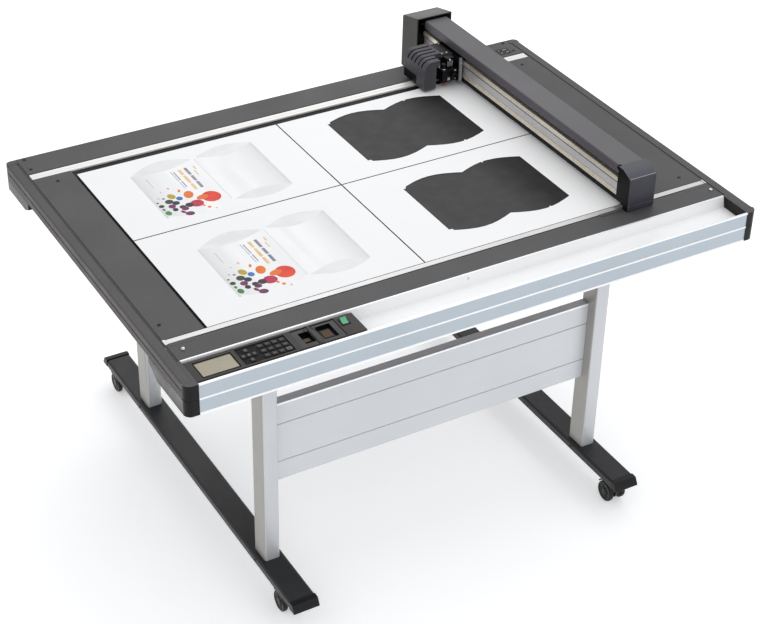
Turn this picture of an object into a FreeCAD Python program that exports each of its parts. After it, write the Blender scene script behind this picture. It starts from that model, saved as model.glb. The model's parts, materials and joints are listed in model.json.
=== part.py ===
import FreeCAD, Part
import math, os, re
import Sketcher

# Flatbed cutting plotter on a castored stand, in millimetres.
# Design frame used by every sketch: X from the table's left side, Y from the
# front rail's face, Z from the floor. Each sub-part's Placement then moves it
# so that the row's origin is at the middle of the footprint, on the floor.

doc = FreeCAD.newDocument("cutting_plotter")
sheet = doc.addObject("Spreadsheet::Sheet", "dims")

DIMS = [
    ("table_w", 1336, "table width"),
    ("table_d", 940, "table depth"),
    ("overall_d", 1040, "depth over the feet and the gantry's rear cap"),
    ("top_z", 740, "table top above the floor"),
    ("front_h", 70, "height of the front rail and of the corner caps"),
    ("side_h", 35, "height of the side rails"),
    ("side_w", 21, "width of the side rails"),
    ("cover_x", 26, "side inset of the top covers"),
    ("lip_d", 4, "thickness of the tray's front lip"),
    ("tray_drop", 25, "depth of the front tray"),
    ("tray_back", 79, "rear wall of the front tray"),
    ("lip_back", 85, "rear edge of the front rail"),
    ("panel_x1", 387, "right end of the control panel"),
    ("strip_back", 141, "rear edge of the front strip"),
    ("rail_y0", 144, "front guide rail, front edge"),
    ("rail_y1", 158, "front guide rail, rear edge"),
    ("cover_t", 2.5, "thickness of the top covers"),
    ("mat_x0", 120, "cutting mat, left edge"),
    ("mat_x1", 1095, "cutting mat, right edge"),
    ("mat_y0", 159, "cutting mat, front edge"),
    ("mat_y1", 818, "cutting mat, rear edge"),
    ("mat_t", 3, "cutting mat thickness"),
    ("media_t", 1, "media thickness"),
    ("bed_t", 8, "bed plate thickness"),
    ("brail_y0", 841, "rear guide rail, front edge"),
    ("brail_y1", 863, "rear guide rail, rear edge"),
    ("back_y0", 866, "rear rail, front edge"),
    ("pan_drop", 62, "underside of the base pan below the table top"),
    ("beam_x0", 1087, "gantry beam, left face"),
    ("beam_x1", 1144, "gantry beam, right face"),
    ("beam_z0", 18, "gantry beam, underside above the table top"),
    ("cover_top", 91, "gantry cover, top above the table top"),
    ("cap_top", 100, "gantry rear cap, top above the table top"),
    ("foot_w", 60, "foot width"),
    ("foot_h", 20, "foot height"),
    ("foot_z", 61, "underside of the feet above the floor"),
    ("foot_x", 255, "foot centre from the table's side"),
    ("leg_w", 36, "leg section along X"),
    ("leg_d", 52, "leg section along Y"),
    ("leg_t", 2.5, "leg wall"),
    ("leg_front", 170, "front legs, front face"),
    ("leg_rear", 788, "rear legs, front face"),
    ("slat_y", 196, "modesty panel, front face"),
    ("slat_t", 24, "modesty panel thickness"),
    ("slat_top", 470, "modesty panel, top edge"),
    ("slat_bot", 270, "modesty panel, bottom edge"),
    ("wheel_dia", 50, "caster wheel diameter"),
    ("caster_y", 84, "front casters' pivot from the front face"),
    ("caster_yr", 974, "rear casters' pivot from the front face"),
    ("shaft_rad", 6, "X drive and idler shaft radius"),
    ("pulley_rad", 12, "X drive pulley radius"),
    ("shaft_drop", 26, "X shafts' axis below the table top"),
    ("drive_x", 1276, "X drive shaft axis"),
    ("idler_x", 60, "X idler shaft axis"),
    ("ypul_rad", 6.3, "Y drive pulley radius"),
    ("ypul_z", 73, "Y pulleys' axis above the table top"),
    ("pen_x", 1041, "cutter axis, X"),
    ("pen_y", 803, "cutter axis, Y"),
    ("pen_rad", 5.7, "cutter holder radius"),
]
ALIAS = {a: float(v) for a, v, _ in DIMS}
for row, (alias, value, note) in enumerate(DIMS, 1):
    sheet.set("A%d" % row, alias)
    sheet.set("B%d" % row, "%g" % value)
    sheet.set("C%d" % row, note)
    sheet.setAlias("B%d" % row, alias)
doc.recompute()

WORD = re.compile(r"[a-z_][a-z_0-9]*")


def ref(expr):
    """The expression with every alias written as dims.alias."""
    return WORD.sub(lambda m: "dims." + m.group(0) if m.group(0) in ALIAS else m.group(0), str(expr))


def val(expr):
    if isinstance(expr, (int, float)):
        return float(expr)
    got = sheet.evalExpression(ref(expr))
    return float(getattr(got, "Value", got))


def bind(obj, prop, expr):
    """Gives a property its value, bound to the sheet when the value is an expression."""
    if isinstance(expr, (int, float)):
        path = prop.split(".")
        if len(path) == 1:
            setattr(obj, prop, float(expr))
            return
    obj.setExpression(prop, ref(expr))


NODES = []


def finish(obj, label):
    """Names a sub-part and moves it into the row's frame."""
    obj.Label = label
    obj.setExpression("Placement.Base.x", "-dims.table_w / 2")
    obj.setExpression("Placement.Base.y", "-dims.overall_d / 2")
    NODES.append(obj)
    return obj


def new_body(name):
    body = doc.addObject("PartDesign::Body", name)
    return body


def plane_of(body, role):
    for feat in body.Origin.OriginFeatures:
        if feat.Role == role:
            return feat
    raise RuntimeError("no plane " + role)


def sketch(body, role, loops, start):
    """A sketch on one of the body's origin planes, moved along that plane's axis to start.
    XY_Plane draws (x, y), XZ_Plane (x, z) and YZ_Plane (y, z)."""
    count = len([o for o in body.Group]) + 1
    sk = body.newObject("Sketcher::SketchObject", "%s_sk%d" % (body.Name, count))
    sk.AttachmentSupport = [(plane_of(body, role), "")]
    sk.MapMode = "FlatFace"
    sign = "-1 * " if role == "XZ_Plane" else ""
    sk.AttachmentOffset = FreeCAD.Placement(
        FreeCAD.Vector(0, 0, (-1 if sign else 1) * val(start)), FreeCAD.Rotation())
    if not isinstance(start, (int, float)):
        sk.setExpression(".AttachmentOffset.Base.z", "%s(%s)" % (sign, ref(start)))
    for loop in loops:
        if loop[0] == "circle":
            _, cx, cy, rad = loop
            g = sk.addGeometry(Part.Circle(FreeCAD.Vector(val(cx), val(cy), 0), FreeCAD.Vector(0, 0, 1), val(rad)), False)
            pin(sk, g, 3, cx, cy)
            k = sk.addConstraint(Sketcher.Constraint("Radius", g, val(rad)))
            if not isinstance(rad, (int, float)):
                sk.setExpression("Constraints[%d]" % k, ref(rad))
            continue
        n = len(loop)
        pts = [FreeCAD.Vector(val(a), val(b), 0) for a, b in loop]
        ids = [sk.addGeometry(Part.LineSegment(pts[i], pts[(i + 1) % n]), False) for i in range(n)]
        for i in range(n):
            sk.addConstraint(Sketcher.Constraint("Coincident", ids[i], 2, ids[(i + 1) % n], 1))
        for i in range(n):
            pin(sk, ids[i], 1, loop[i][0], loop[i][1])
    return sk


def pin(sk, geo, point, a, b):
    """Ties a sketch point to its coordinates, bound to the sheet where they are expressions."""
    for word, axis, expr in (("DistanceX", -2, a), ("DistanceY", -1, b)):
        v = val(expr)
        if abs(v) < 1e-9:
            sk.addConstraint(Sketcher.Constraint("PointOnObject", geo, point, axis))
            continue
        k = sk.addConstraint(Sketcher.Constraint(word, -1, 1, geo, point, v))
        if not isinstance(expr, (int, float)):
            sk.setExpression("Constraints[%d]" % k, ref(expr))


def extrude(body, kind, role, loops, start, length):
    """A pad or pocket from start, length along the plane's world axis."""
    sk = sketch(body, role, loops, start)
    feat = body.newObject("PartDesign::" + kind, "%s_%s%d" % (body.Name, kind.lower(), len(body.Group)))
    feat.Profile = sk
    feat.Type = "Length"
    feat.Length = val(length)
    if not isinstance(length, (int, float)):
        feat.setExpression("Length", ref(length))
    toward = role != "XZ_Plane"
    feat.Reversed = (not toward) if kind == "Pad" else toward
    before = None
    if kind == "Pocket":
        before = body.Shape.Volume if not body.Shape.isNull() else None
    doc.recompute()
    if kind == "Pocket" and before is not None and not body.Shape.Volume < before - 1e-3:
        raise RuntimeError("a pocket cut nothing in " + body.Name)
    return feat


def rect(x0, y0, x1, y1):
    return [(x0, y0), (x1, y0), (x1, y1), (x0, y1)]


def fillet(body, rad, test, kind="Fillet"):
    """Rounds or bevels the edges of the body's tip that pass the test."""
    tip = body.Tip
    names = ["Edge%d" % (i + 1) for i, e in enumerate(tip.Shape.Edges) if test(e)]
    if not names:
        raise RuntimeError("no edge to round in " + body.Name)
    feat = body.newObject("PartDesign::" + kind, "%s_%s%d" % (body.Name, kind.lower(), len(body.Group)))
    feat.Base = (tip, names)
    if kind == "Fillet":
        feat.Radius = rad
    else:
        feat.Size = rad
    doc.recompute()
    return feat


def along(e, axis):
    """True for a straight edge along the axis."""
    if len(e.Vertexes) != 2:
        return False
    d = e.Vertexes[1].Point - e.Vertexes[0].Point
    others = [abs(d[i]) for i in range(3) if i != axis]
    return e.Length > 1e-6 and max(others) < 1e-6


def near(e, **at):
    """True if the edge's middle is at the given coordinates."""
    c = e.BoundBox.Center
    return all(abs(getattr(c, k) - v) < 0.05 for k, v in at.items())


def box(name, x0, y0, z0, dx, dy, dz):
    ob = doc.addObject("Part::Box", name)
    for prop, e in (("Length", dx), ("Width", dy), ("Height", dz),
                    ("Placement.Base.x", x0), ("Placement.Base.y", y0), ("Placement.Base.z", z0)):
        bind(ob, prop, e)
    return ob


AXES = {"x": (FreeCAD.Vector(0, 1, 0), 90), "y": (FreeCAD.Vector(1, 0, 0), -90), "z": (FreeCAD.Vector(0, 0, 1), 0)}


def cyl(name, axis, x, y, z, rad, length):
    """A cylinder that starts at (x, y, z) and runs along +axis."""
    ob = doc.addObject("Part::Cylinder", name)
    vec, ang = AXES[axis]
    ob.Placement = FreeCAD.Placement(FreeCAD.Vector(0, 0, 0), FreeCAD.Rotation(vec, ang))
    for prop, e in (("Radius", rad), ("Height", length),
                    ("Placement.Base.x", x), ("Placement.Base.y", y), ("Placement.Base.z", z)):
        bind(ob, prop, e)
    return ob


def fuse(name, parts):
    ob = doc.addObject("Part::MultiFuse", name)
    ob.Shapes = parts
    ob.Refine = True
    return ob


def cut(name, base, tool):
    ob = doc.addObject("Part::Cut", name)
    ob.Base = base
    ob.Tool = tool
    ob.Refine = True
    return ob


def group(name, parts):
    ob = doc.addObject("Part::Compound", name)
    ob.Links = parts
    return ob


T = "top_z"

# ---------------------------------------------------------------- table frame
# Front rail: an aluminium extrusion. Its front wall carries three lips with two
# recessed bands between them, and its top is an open tray with a sloped rear wall.
b = new_body("front_rail_body")
extrude(b, "Pad", "YZ_Plane", [
    [(0, T + "-front_h"), (63, T + "-front_h"), (63, T + "-tray_drop-3"), ("tray_back-2", T + "-tray_drop-3"),
     ("lip_back", T + "-6"), ("lip_back", T), ("lip_back-4", T), ("tray_back-3", T + "-tray_drop"),
     (8, T + "-tray_drop"), (6, T + "-tray_drop+2"), ("lip_d", T), (0, T), (0, T + "-3.5"), (1.2, T + "-4.5"),
     (1.2, T + "-front_h/2+2.2"), (0, T + "-front_h/2+1.4"), (0, T + "-front_h/2-1.4"), (1.2, T + "-front_h/2-2.2"),
     (1.2, T + "-front_h+4.5"), (0, T + "-front_h+3.5")],
    rect(4.2, T + "-front_h+3", 60, T + "-tray_drop-3")], 28, "table_w-28-26")
finish(b, "front_rail")

# Side rails: shallow dark extrusions with a groove along the outer wall.
for side, name in ((0, "side_rail_left"), (1, "side_rail_right")):
    b = new_body(name + "_body")
    pts = [(0, T + "-side_h"), ("side_w", T + "-side_h"), ("side_w", T), (2.5, T), (0, T + "-2.5"),
           (0, T + "-16"), (2, T + "-17"), (2, T + "-19"), (0, T + "-20")]
    if side:
        pts = [("table_w-(%s)" % a, c) for a, c in pts]
    extrude(b, "Pad", "XZ_Plane", [pts], 18, "table_d-18-18")
    extrude(b, "Pocket", "XZ_Plane", [rect(7, T + "-side_h+3", "side_w-3", T + "-3") if not side else
                                      rect("table_w-side_w+3", T + "-side_h+3", "table_w-7", T + "-3")], 18, "table_d-36")
    finish(b, name)

# Rear rail: a top flange and a rear wall, with a long slot that the gantry's
# rear arm passes through.
b = new_body("back_rail_body")
extrude(b, "Pad", "YZ_Plane", [[("back_y0", T + "-pan_drop"), ("table_d", T + "-pan_drop"), ("table_d", T + "-2.7"),
                                ("back_y0", T + "-2.7"), ("back_y0", T + "-6"), ("table_d-5", T + "-6"),
                                ("table_d-5", T + "-pan_drop+3"), ("back_y0", T + "-pan_drop+3")]], 26.2, "table_w-52.4")
extrude(b, "Pocket", "XZ_Plane", [rect(80, T + "-16", "table_w-80", T + "-9")], "table_d-8", 12)
finish(b, "back_rail")

# Corner caps: glossy black mouldings. The front pair closes the ends of the
# front rail with a rounded corner and carries the lower wall back along the side.
for side, name in ((0, "corner_cap_front_left"), (1, "corner_cap_front_right")):
    b = new_body(name + "_body")
    w = 27.8 if not side else 25.8
    m = (lambda e: "table_w-(%s)" % e) if side else (lambda e: e)
    extrude(b, "Pad", "XY_Plane", [[(m(0), 0), (m(w), 0), (m(w), 17.8), (m(0), 17.8)]], T + "-front_h", "front_h")
    extrude(b, "Pad", "YZ_Plane", [[(17, T + "-front_h"), (132, T + "-front_h"), (170, T + "-side_h-12"),
                                    (170, T + "-side_h-0.2"), (17, T + "-side_h-0.2")]], 0 if not side else "table_w-side_w", "side_w")
    extrude(b, "Pad", "XY_Plane", [[(m(21.2), 17), (m(w), 17), (m(w), 85), (m(21.2), 85)]], T + "-front_h", "front_h")
    X = 0.0 if not side else val("table_w")
    fillet(b, 15, lambda e: along(e, 2) and near(e, x=X, y=0.0))
    finish(b, name)
for side, name in ((0, "corner_cap_back_left"), (1, "corner_cap_back_right")):
    b = new_body(name + "_body")
    m = (lambda e: "table_w-(%s)" % e) if side else (lambda e: e)
    extrude(b, "Pad", "XY_Plane", [[(m(0), "table_d-17.8"), (m(0), "table_d"), (m(25.8), "table_d"), (m(25.8), "table_d-17.8")]],
            T + "-pan_drop", "pan_drop")
    extrude(b, "Pad", "YZ_Plane", [[(806, T + "-side_h-0.2"), (806, T + "-side_h-16"), (828, T + "-pan_drop"),
                                    ("table_d-17", T + "-pan_drop"), ("table_d-17", T + "-side_h-0.2")]],
            0 if not side else "table_w-side_w", "side_w")
    X = 0.0 if not side else val("table_w")
    fillet(b, 12, lambda e: along(e, 2) and near(e, x=X, y=val("table_d")))
    finish(b, name)

# ------------------------------------------------------------------ top covers
def plate(name, x0, y0, x1, y1, ztop, thick, holes=(), round_r=0, hole_r=2.2):
    bb = new_body(name + "_body")
    extrude(bb, "Pad", "XY_Plane", [rect(x0, y0, x1, y1)], "%s-(%s)" % (ztop, thick), thick)
    if holes:
        extrude(bb, "Pocket", "XY_Plane", [("circle", hx, hy, hole_r) for hx, hy in holes], "%s-(%s)-1" % (ztop, thick), "(%s)+2" % thick)
    return bb


finish(plate("side_cover_left", "cover_x", "rail_y1+1.5", 113.5, "brail_y0-1", T, "cover_t", [(42, 209), (73, 811)]), "side_cover_left")
finish(plate("side_cover_right", 1100, "rail_y1+1.5", "table_w-27", "brail_y0-1", T, "cover_t", [(1273, 191), (1272, 811)]), "side_cover_right")
finish(plate("front_strip", "cover_x", "lip_back+0.5", "table_w-27", "strip_back", T, "cover_t", [(49, 115), (1301, 115)]), "front_strip")
finish(plate("back_cover", "cover_x", "back_y0", "table_w-27", "table_d", T, "cover_t", [(42, 931), (40, 885), (1294, 931), (1296, 885)]), "back_cover")

# Guide rails: the gantry's front and rear feet run along their tops.
b = new_body("front_guide_rail_body")
extrude(b, "Pad", "YZ_Plane", [[("rail_y0", T + "-18"), ("rail_y1", T + "-18"), ("rail_y1", T + "-0.6"), ("rail_y1-0.6", T),
                                ("rail_y0+0.6", T), ("rail_y0", T + "-0.6"), ("rail_y0", T + "-5"), ("rail_y0+1.5", T + "-6"),
                                ("rail_y0+1.5", T + "-8"), ("rail_y0", T + "-9")]], 30, "table_w-60")
finish(b, "front_guide_rail")
b = new_body("back_guide_rail_body")
extrude(b, "Pad", "YZ_Plane", [[("brail_y0", T + "-18"), ("brail_y1", T + "-18"), ("brail_y1", T + "-0.8"), ("brail_y1-0.8", T),
                                ("brail_y0+10.5", T), ("brail_y0+10", T + "-1"), ("brail_y0+9", T + "-1"), ("brail_y0+8.5", T),
                                ("brail_y0+0.8", T), ("brail_y0", T + "-0.8")]], 27, "table_w-54")
finish(b, "back_guide_rail")

# Bed: a stiff plate, a dark cutting mat, and four sheets of media laid on it.
b = new_body("bed_plate_body")
extrude(b, "Pad", "XY_Plane", [rect("cover_x+2", "rail_y1", "table_w-29", "brail_y0")], T + "-mat_t-media_t-bed_t", "bed_t")
finish(b, "bed_plate")
b = new_body("cutting_mat_body")
extrude(b, "Pad", "XY_Plane", [rect("mat_x0", "mat_y0", "mat_x1", "mat_y1")], T + "-mat_t-media_t", "mat_t")
finish(b, "cutting_mat")

# The two right-hand sheets each have one pouch-shaped blank cut out of them.
mid_x, mid_y, gap = 605.0, 510.0, 3.0


def sheet_body(name, x0, y0, x1, y1, blank=None):
    bb = new_body(name)
    loops = [rect(x0, y0, x1, y1)]
    if blank:
        loops.append(blank)
    extrude(bb, "Pad", "XY_Plane", loops, T + "-media_t", "media_t")
    return bb


def pouch_edge(half, end, bow, nick):
    """One long edge of a pouch blank, from its left end: an ear, two bowed panels, and a tear nick in the right one."""
    pts = [(-half, end - 3.0), (-half + 7.0, end - 3.0)]
    for u in (0.06, 0.12, 0.25, 0.375, 0.5, 0.625, 0.75, 0.875, 1.0):
        pts.append((-half + half * u, end + bow * math.sin(math.pi * u)))
    for u in sorted([0.125, 0.25, 0.375, 0.5, 0.625, 0.75, 0.875, 1.0, nick - 0.02, nick, nick + 0.02]):
        pts.append((half * u, end + bow * math.sin(math.pi * u) - (4.5 if u == nick else 0.0)))
    return [(round(x, 3), round(y, 3)) for x, y in pts]


def pouch(cx, cy, half=151.0, end=97.0, bow=20.0):
    """A pouch blank: two panels side by side, each with a straight end and long edges that bow out."""
    near = pouch_edge(half, end, bow, 0.59)
    far = pouch_edge(half, end, bow, 0.42)
    return [(cx + x, cy - y) for x, y in near] + [(cx + x, cy + y) for x, y in reversed(far)]


s1 = sheet_body("media_front_left", "mat_x0", "mat_y0", mid_x - gap / 2, mid_y - gap / 2)
s2 = sheet_body("media_front_right", mid_x + gap / 2, "mat_y0", "mat_x1", mid_y - gap / 2, pouch(865, 337))
s3 = sheet_body("media_rear_left", "mat_x0", mid_y + gap / 2, mid_x - gap / 2, "mat_y1")
s4 = sheet_body("media_rear_right", mid_x + gap / 2, mid_y + gap / 2, "mat_x1", "mat_y1", pouch(859, 669))
finish(group("media_sheets_group", [s1, s2, s3, s4]), "media_sheets")

# ------------------------------------------------------------- control panel
b = new_body("control_panel_body")
extrude(b, "Pad", "XY_Plane", [rect(28, 9, "panel_x1", 74)], T + "-tray_drop", "tray_drop-0.8")
extrude(b, "Pocket", "XY_Plane", [rect(45, 17, 121, 64)], T + "-4.8", 5)
extrude(b, "Pocket", "XY_Plane", [rect(131, 14, 236, 69)], T + "-4.8", 5)
extrude(b, "Pocket", "XY_Plane", [rect(250, 11, 345, 72)], T + "-12.8", 13)
extrude(b, "Pocket", "XY_Plane", [rect(353, 44, 367, 62)], T + "-14.8", 15)
finish(b, "control_panel")
b = new_body("display_window_body")
extrude(b, "Pad", "XY_Plane", [rect(45.2, 17.2, 120.8, 63.8)], T + "-4.8", 3)
finish(b, "display_window")

# Keypad: one moulded mat with a web and raised keys; a jog cross on the left
# and three rows of function keys.
b = new_body("keypad_body")
extrude(b, "Pad", "XY_Plane", [rect(131.6, 14.6, 235.4, 68.4)], T + "-3.9", 1.2)
keys = []
for kx, ky in ((150, 57), (150, 41), (150, 25), (138.5, 41), (161.5, 41)):
    keys.append(rect(kx - 4.8, ky - 5.5, kx + 4.8, ky + 5.5))
for i in range(4):
    for j in range(3):
        keys.append(rect(175 + 15.2 * i, 19.5 + 16.5 * j, 187 + 15.2 * i, 29.5 + 16.5 * j))
extrude(b, "Pad", "XY_Plane", keys, T + "-2.8", 2.6)
finish(b, "keypad_keys")

# Port block: a glossy insert with two sockets and a raised rib between them.
b = new_body("port_block_body")
extrude(b, "Pad", "XY_Plane", [rect(250.2, 11.2, 344.8, 71.8)], T + "-12.8", 10.3)
extrude(b, "Pocket", "XY_Plane", [rect(262, 24, 284, 60)], T + "-11", 10)
extrude(b, "Pocket", "XY_Plane", [rect(300, 20, 332, 64)], T + "-9", 10)
extrude(b, "Pad", "XY_Plane", [rect(286, 12, 292, 71)], T + "-3", 2.4)
finish(b, "port_block")

# Power rocker: a two-faced paddle on a short axle across its width.
b = new_body("power_rocker_body")
extrude(b, "Pad", "YZ_Plane", [[(45, T + "-7"), (61, T + "-7"), (60.6, T + "+5.2"), (53, T + "+0.6"), (45.4, T + "-0.2")]], 353.6, 12.8)
extrude(b, "Pad", "YZ_Plane", [("circle", 53, T + "-5", 1.4)], 353.25, 13.5)
finish(b, "power_rocker")

# Screws of the top covers, and the two chrome pins of the front strip.
parts = []
for i, (x, y) in enumerate(((42, 209), (73, 811), (1273, 191), (1272, 811), (42, 931), (40, 885), (1294, 931), (1296, 885))):
    head = cyl("screw_head_%d" % i, "z", x, y, T, 4, 1.6)
    shank = cyl("screw_shank_%d" % i, "z", x, y, T + "-2.6", 1.9, 2.6)
    sock = cyl("screw_socket_%d" % i, "z", x, y, T + "+0.7", 1.6, 2)
    parts.append(cut("screw_%d" % i, fuse("screw_blank_%d" % i, [head, shank]), sock))
for i, (x, y) in enumerate(((49, 115), (1301, 115))):
    stem = cyl("pin_stem_%d" % i, "z", x, y, T + "-2.6", 1.9, 2.6)
    knob = cyl("pin_knob_%d" % i, "z", x, y, T, 4.5, 4)
    parts.append(fuse("pin_%d" % i, [stem, knob]))
finish(group("fasteners_group", parts), "cover_fasteners")

# --------------------------------------------------------- underside and drive
b = new_body("base_pan_body")
extrude(b, "Pad", "XY_Plane", [rect(30, 88, "table_w-30", "back_y0-2")], T + "-pan_drop", "pan_drop-18.4")
extrude(b, "Pocket", "XY_Plane", [rect(32, 90, "table_w-32", "back_y0-4")], T + "-pan_drop+2", "pan_drop")
extrude(b, "Pocket", "XY_Plane", [rect("idler_x-8", "back_y0-8", "idler_x+8", "back_y0"), rect("drive_x-8", "back_y0-8", "drive_x+8", "back_y0")],
        T + "-shaft_drop-8", 40)
finish(b, "base_pan")


def x_shaft(label, x):
    """A shaft under the bed with a toothed pulley for the front belt and one for the rear belt."""
    shaft = cyl(label + "_rod", "y", x, 118, T + "-shaft_drop", "shaft_rad", 806)
    wheels = []
    for k, y in enumerate((121, 912)):
        wheels.append(cyl("%s_pulley_%d" % (label, k), "y", x, y, T + "-shaft_drop", "pulley_rad", 8))
        wheels.append(cyl("%s_rim_%d" % (label, k), "y", x, y - 1.2, T + "-shaft_drop", "pulley_rad+1.6", 1.2))
        wheels.append(cyl("%s_rim_b%d" % (label, k), "y", x, y + 8, T + "-shaft_drop", "pulley_rad+1.6", 1.2))
    finish(fuse(label + "_fuse", [shaft] + wheels), label)


x_shaft("x_drive_shaft", "drive_x")
x_shaft("x_idler_shaft", "idler_x")

# Belts: the upper and lower runs of each X belt, stopping short of the pulleys' teeth.
parts = []
for k, y in enumerate((122, 913)):
    outer = box("xbelt_outer_%d" % k, "idler_x", y, T + "-shaft_drop+pulley_rad+0.4", "drive_x-idler_x", 6, 1.4)
    lower = box("xbelt_lower_%d" % k, "idler_x", y, T + "-shaft_drop-pulley_rad-1.8", "drive_x-idler_x", 6, 1.4)
    ends = []
    for q, ex in enumerate(("idler_x", "drive_x")):
        o = cyl("xbelt_end_o%d%d" % (k, q), "y", ex, y, T + "-shaft_drop", "pulley_rad+1.8", 6)
        i = cyl("xbelt_end_i%d%d" % (k, q), "y", ex, y - 1, T + "-shaft_drop", "pulley_rad+0.4", 8)
        ring = cut("xbelt_ring_%d%d" % (k, q), o, i)
        half = box("xbelt_half_%d%d" % (k, q), "%s%s" % (ex, "" if q == 0 else "-20"), y - 2, T + "-shaft_drop-20", 20, 10, 40)
        ends.append(cut("xbelt_bend_%d%d" % (k, q), ring, half))
    parts.append(fuse("xbelt_%d" % k, [outer, lower] + ends))
finish(group("x_belts_group", parts), "x_belts")

# Stepper motor of the X drive, its plate beside the drive shaft's middle.
body_m = box("xmotor_case", 1180, 700, T + "-pan_drop+4", 56, 56, 40)
boss = cyl("xmotor_boss", "x", 1236, 728, T + "-shaft_drop-12", 11, 2)
out = cyl("xmotor_shaft", "x", 1238, 728, T + "-shaft_drop-12", 2.5, 18)
finish(fuse("x_motor_fuse", [body_m, boss, out]), "x_motor")

# Electronics: a circuit board on four pillars, with its larger components.
board = box("ctrl_board", 120, 160, T + "-pan_drop+10", 220, 140, 1.6)
bits = [box("ctrl_cap_%d" % i, 140 + 48 * i, 190, T + "-pan_drop+11.6", 24, 30, 12) for i in range(4)]
legs_ = [cyl("ctrl_pillar_%d" % i, "z", 130 + 200 * (i % 2), 170 + 120 * (i // 2), T + "-pan_drop+2", 3, 8) for i in range(4)]
finish(fuse("main_board_fuse", [board] + bits + legs_), "main_board")

# Power inlet and data socket on the rear wall.
plate_ = box("inlet_plate", 1180, "table_d", T + "-54", 110, 2, 34)
well = box("inlet_case", 1186, "table_d", T + "-50", 30, 6, 24)
hole = box("inlet_hole", 1190, "table_d+1", T + "-47", 22, 6, 18)
data = box("data_case", 1230, "table_d", T + "-48", 16, 6, 14)
dhole = box("data_hole", 1233, "table_d+1", T + "-45", 10, 6, 8)
data2 = box("data_case_b", 1254, "table_d", T + "-48", 28, 6, 14)
dhole2 = box("data_hole_b", 1257, "table_d+1", T + "-45", 22, 6, 8)
finish(cut("inlet_cut", fuse("inlet_fuse", [plate_, well, data, data2]), fuse("inlet_holes", [hole, dhole, dhole2])), "power_inlet")

# --------------------------------------------------------------------- stand
for side, sname in ((0, "left"), (1, "right")):
    cx = "foot_x" if not side else "(table_w-foot_x)"
    for yk, yname in (("leg_front", "front"), ("leg_rear", "rear")):
        name = "leg_%s_%s" % (yname, sname)
        b = new_body(name + "_body")
        x0, x1 = cx + "-leg_w/2", cx + "+leg_w/2"
        extrude(b, "Pad", "XY_Plane", [rect(x0, yk, x1, yk + "+leg_d")], "foot_z+foot_h", T + "-pan_drop-foot_z-foot_h")
        fillet(b, 5, lambda e: along(e, 2))
        extrude(b, "Pocket", "XY_Plane", [rect(x0 + "+leg_t+1.5", yk + "+leg_t+1.5", x1 + "-leg_t-1.5", yk + "+leg_d-leg_t-1.5")],
                "foot_z+foot_h-1", T)
        finish(b, name)
    name = "foot_" + sname
    b = new_body(name + "_body")
    extrude(b, "Pad", "XZ_Plane", [[(cx + "-foot_w/2+2", "foot_z"), (cx + "+foot_w/2-2", "foot_z"), (cx + "+foot_w/2", "foot_z+2"),
                                    (cx + "+foot_w/2", "foot_z+foot_h-4"), (cx + "+foot_w/2-4", "foot_z+foot_h"),
                                    (cx + "-foot_w/2+4", "foot_z+foot_h"), (cx + "-foot_w/2", "foot_z+foot_h-4"),
                                    (cx + "-foot_w/2", "foot_z+2")]], 36, "overall_d-64")
    finish(b, name)

parts = []
for side, sname in ((0, "left"), (1, "right")):
    cx = "foot_x" if not side else "(table_w-foot_x)"
    for k in (0, 1):
        bb = new_body("foot_cap_%s_%d" % (sname, k))
        y = (lambda v: v) if k == 0 else (lambda v: "1052-%s" % v)
        prof = [(y(36), "foot_z"), (y(14), "foot_z"), (y(12), "foot_z+2"), (y(13), "foot_z+5"), (y(21), "foot_z+foot_h-1"),
                (y(24), "foot_z+foot_h"), (y(36), "foot_z+foot_h")]
        extrude(bb, "Pad", "YZ_Plane", [prof], cx + "-foot_w/2-0.6", "foot_w+1.2")
        parts.append(bb)
finish(group("foot_end_caps_group", parts), "foot_end_caps")

# Modesty panel: three interlocking slats between the front legs.
parts = []
for i, (z0, z1) in enumerate((("slat_bot", "slat_bot+48.4"), ("slat_bot+49.4", "slat_bot+146.4"), ("slat_bot+147.4", "slat_top"))):
    bb = new_body("slat_%d" % i)
    extrude(bb, "Pad", "YZ_Plane", [[("slat_y", z0 + "+1"), ("slat_y+1", z0), ("slat_y+slat_t", z0), ("slat_y+slat_t", z1),
                                     ("slat_y+1", z1), ("slat_y", z1 + "-1")]], "foot_x+leg_w/2", "table_w-2*foot_x-leg_w")
    parts.append(bb)
finish(group("modesty_slats_group", parts), "modesty_slats")

# Casters: a fixed swivel stem under each foot, a hood that swivels on it, and
# a pair of wheels on one axle that trails behind the stem.
pivots = []
parts = []
for side, sname in ((0, "left"), (1, "right")):
    cx = "foot_x" if not side else "(table_w-foot_x)"
    for k, (yk, yname) in enumerate((("caster_y", "front"), ("caster_yr", "rear"))):
        parts.append(fuse("stem_%s_%s" % (sname, yname), [
            cyl("stem_plate_%s_%s" % (sname, yname), "z", cx, yk, "foot_z-3", 19, 3),
            cyl("stem_pin_%s_%s" % (sname, yname), "z", cx, yk, "foot_z-22", 5, 20)]))
        pivots.append((side, sname, cx, k, yk, yname))
finish(group("caster_stems_group", parts), "caster_stems")

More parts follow.
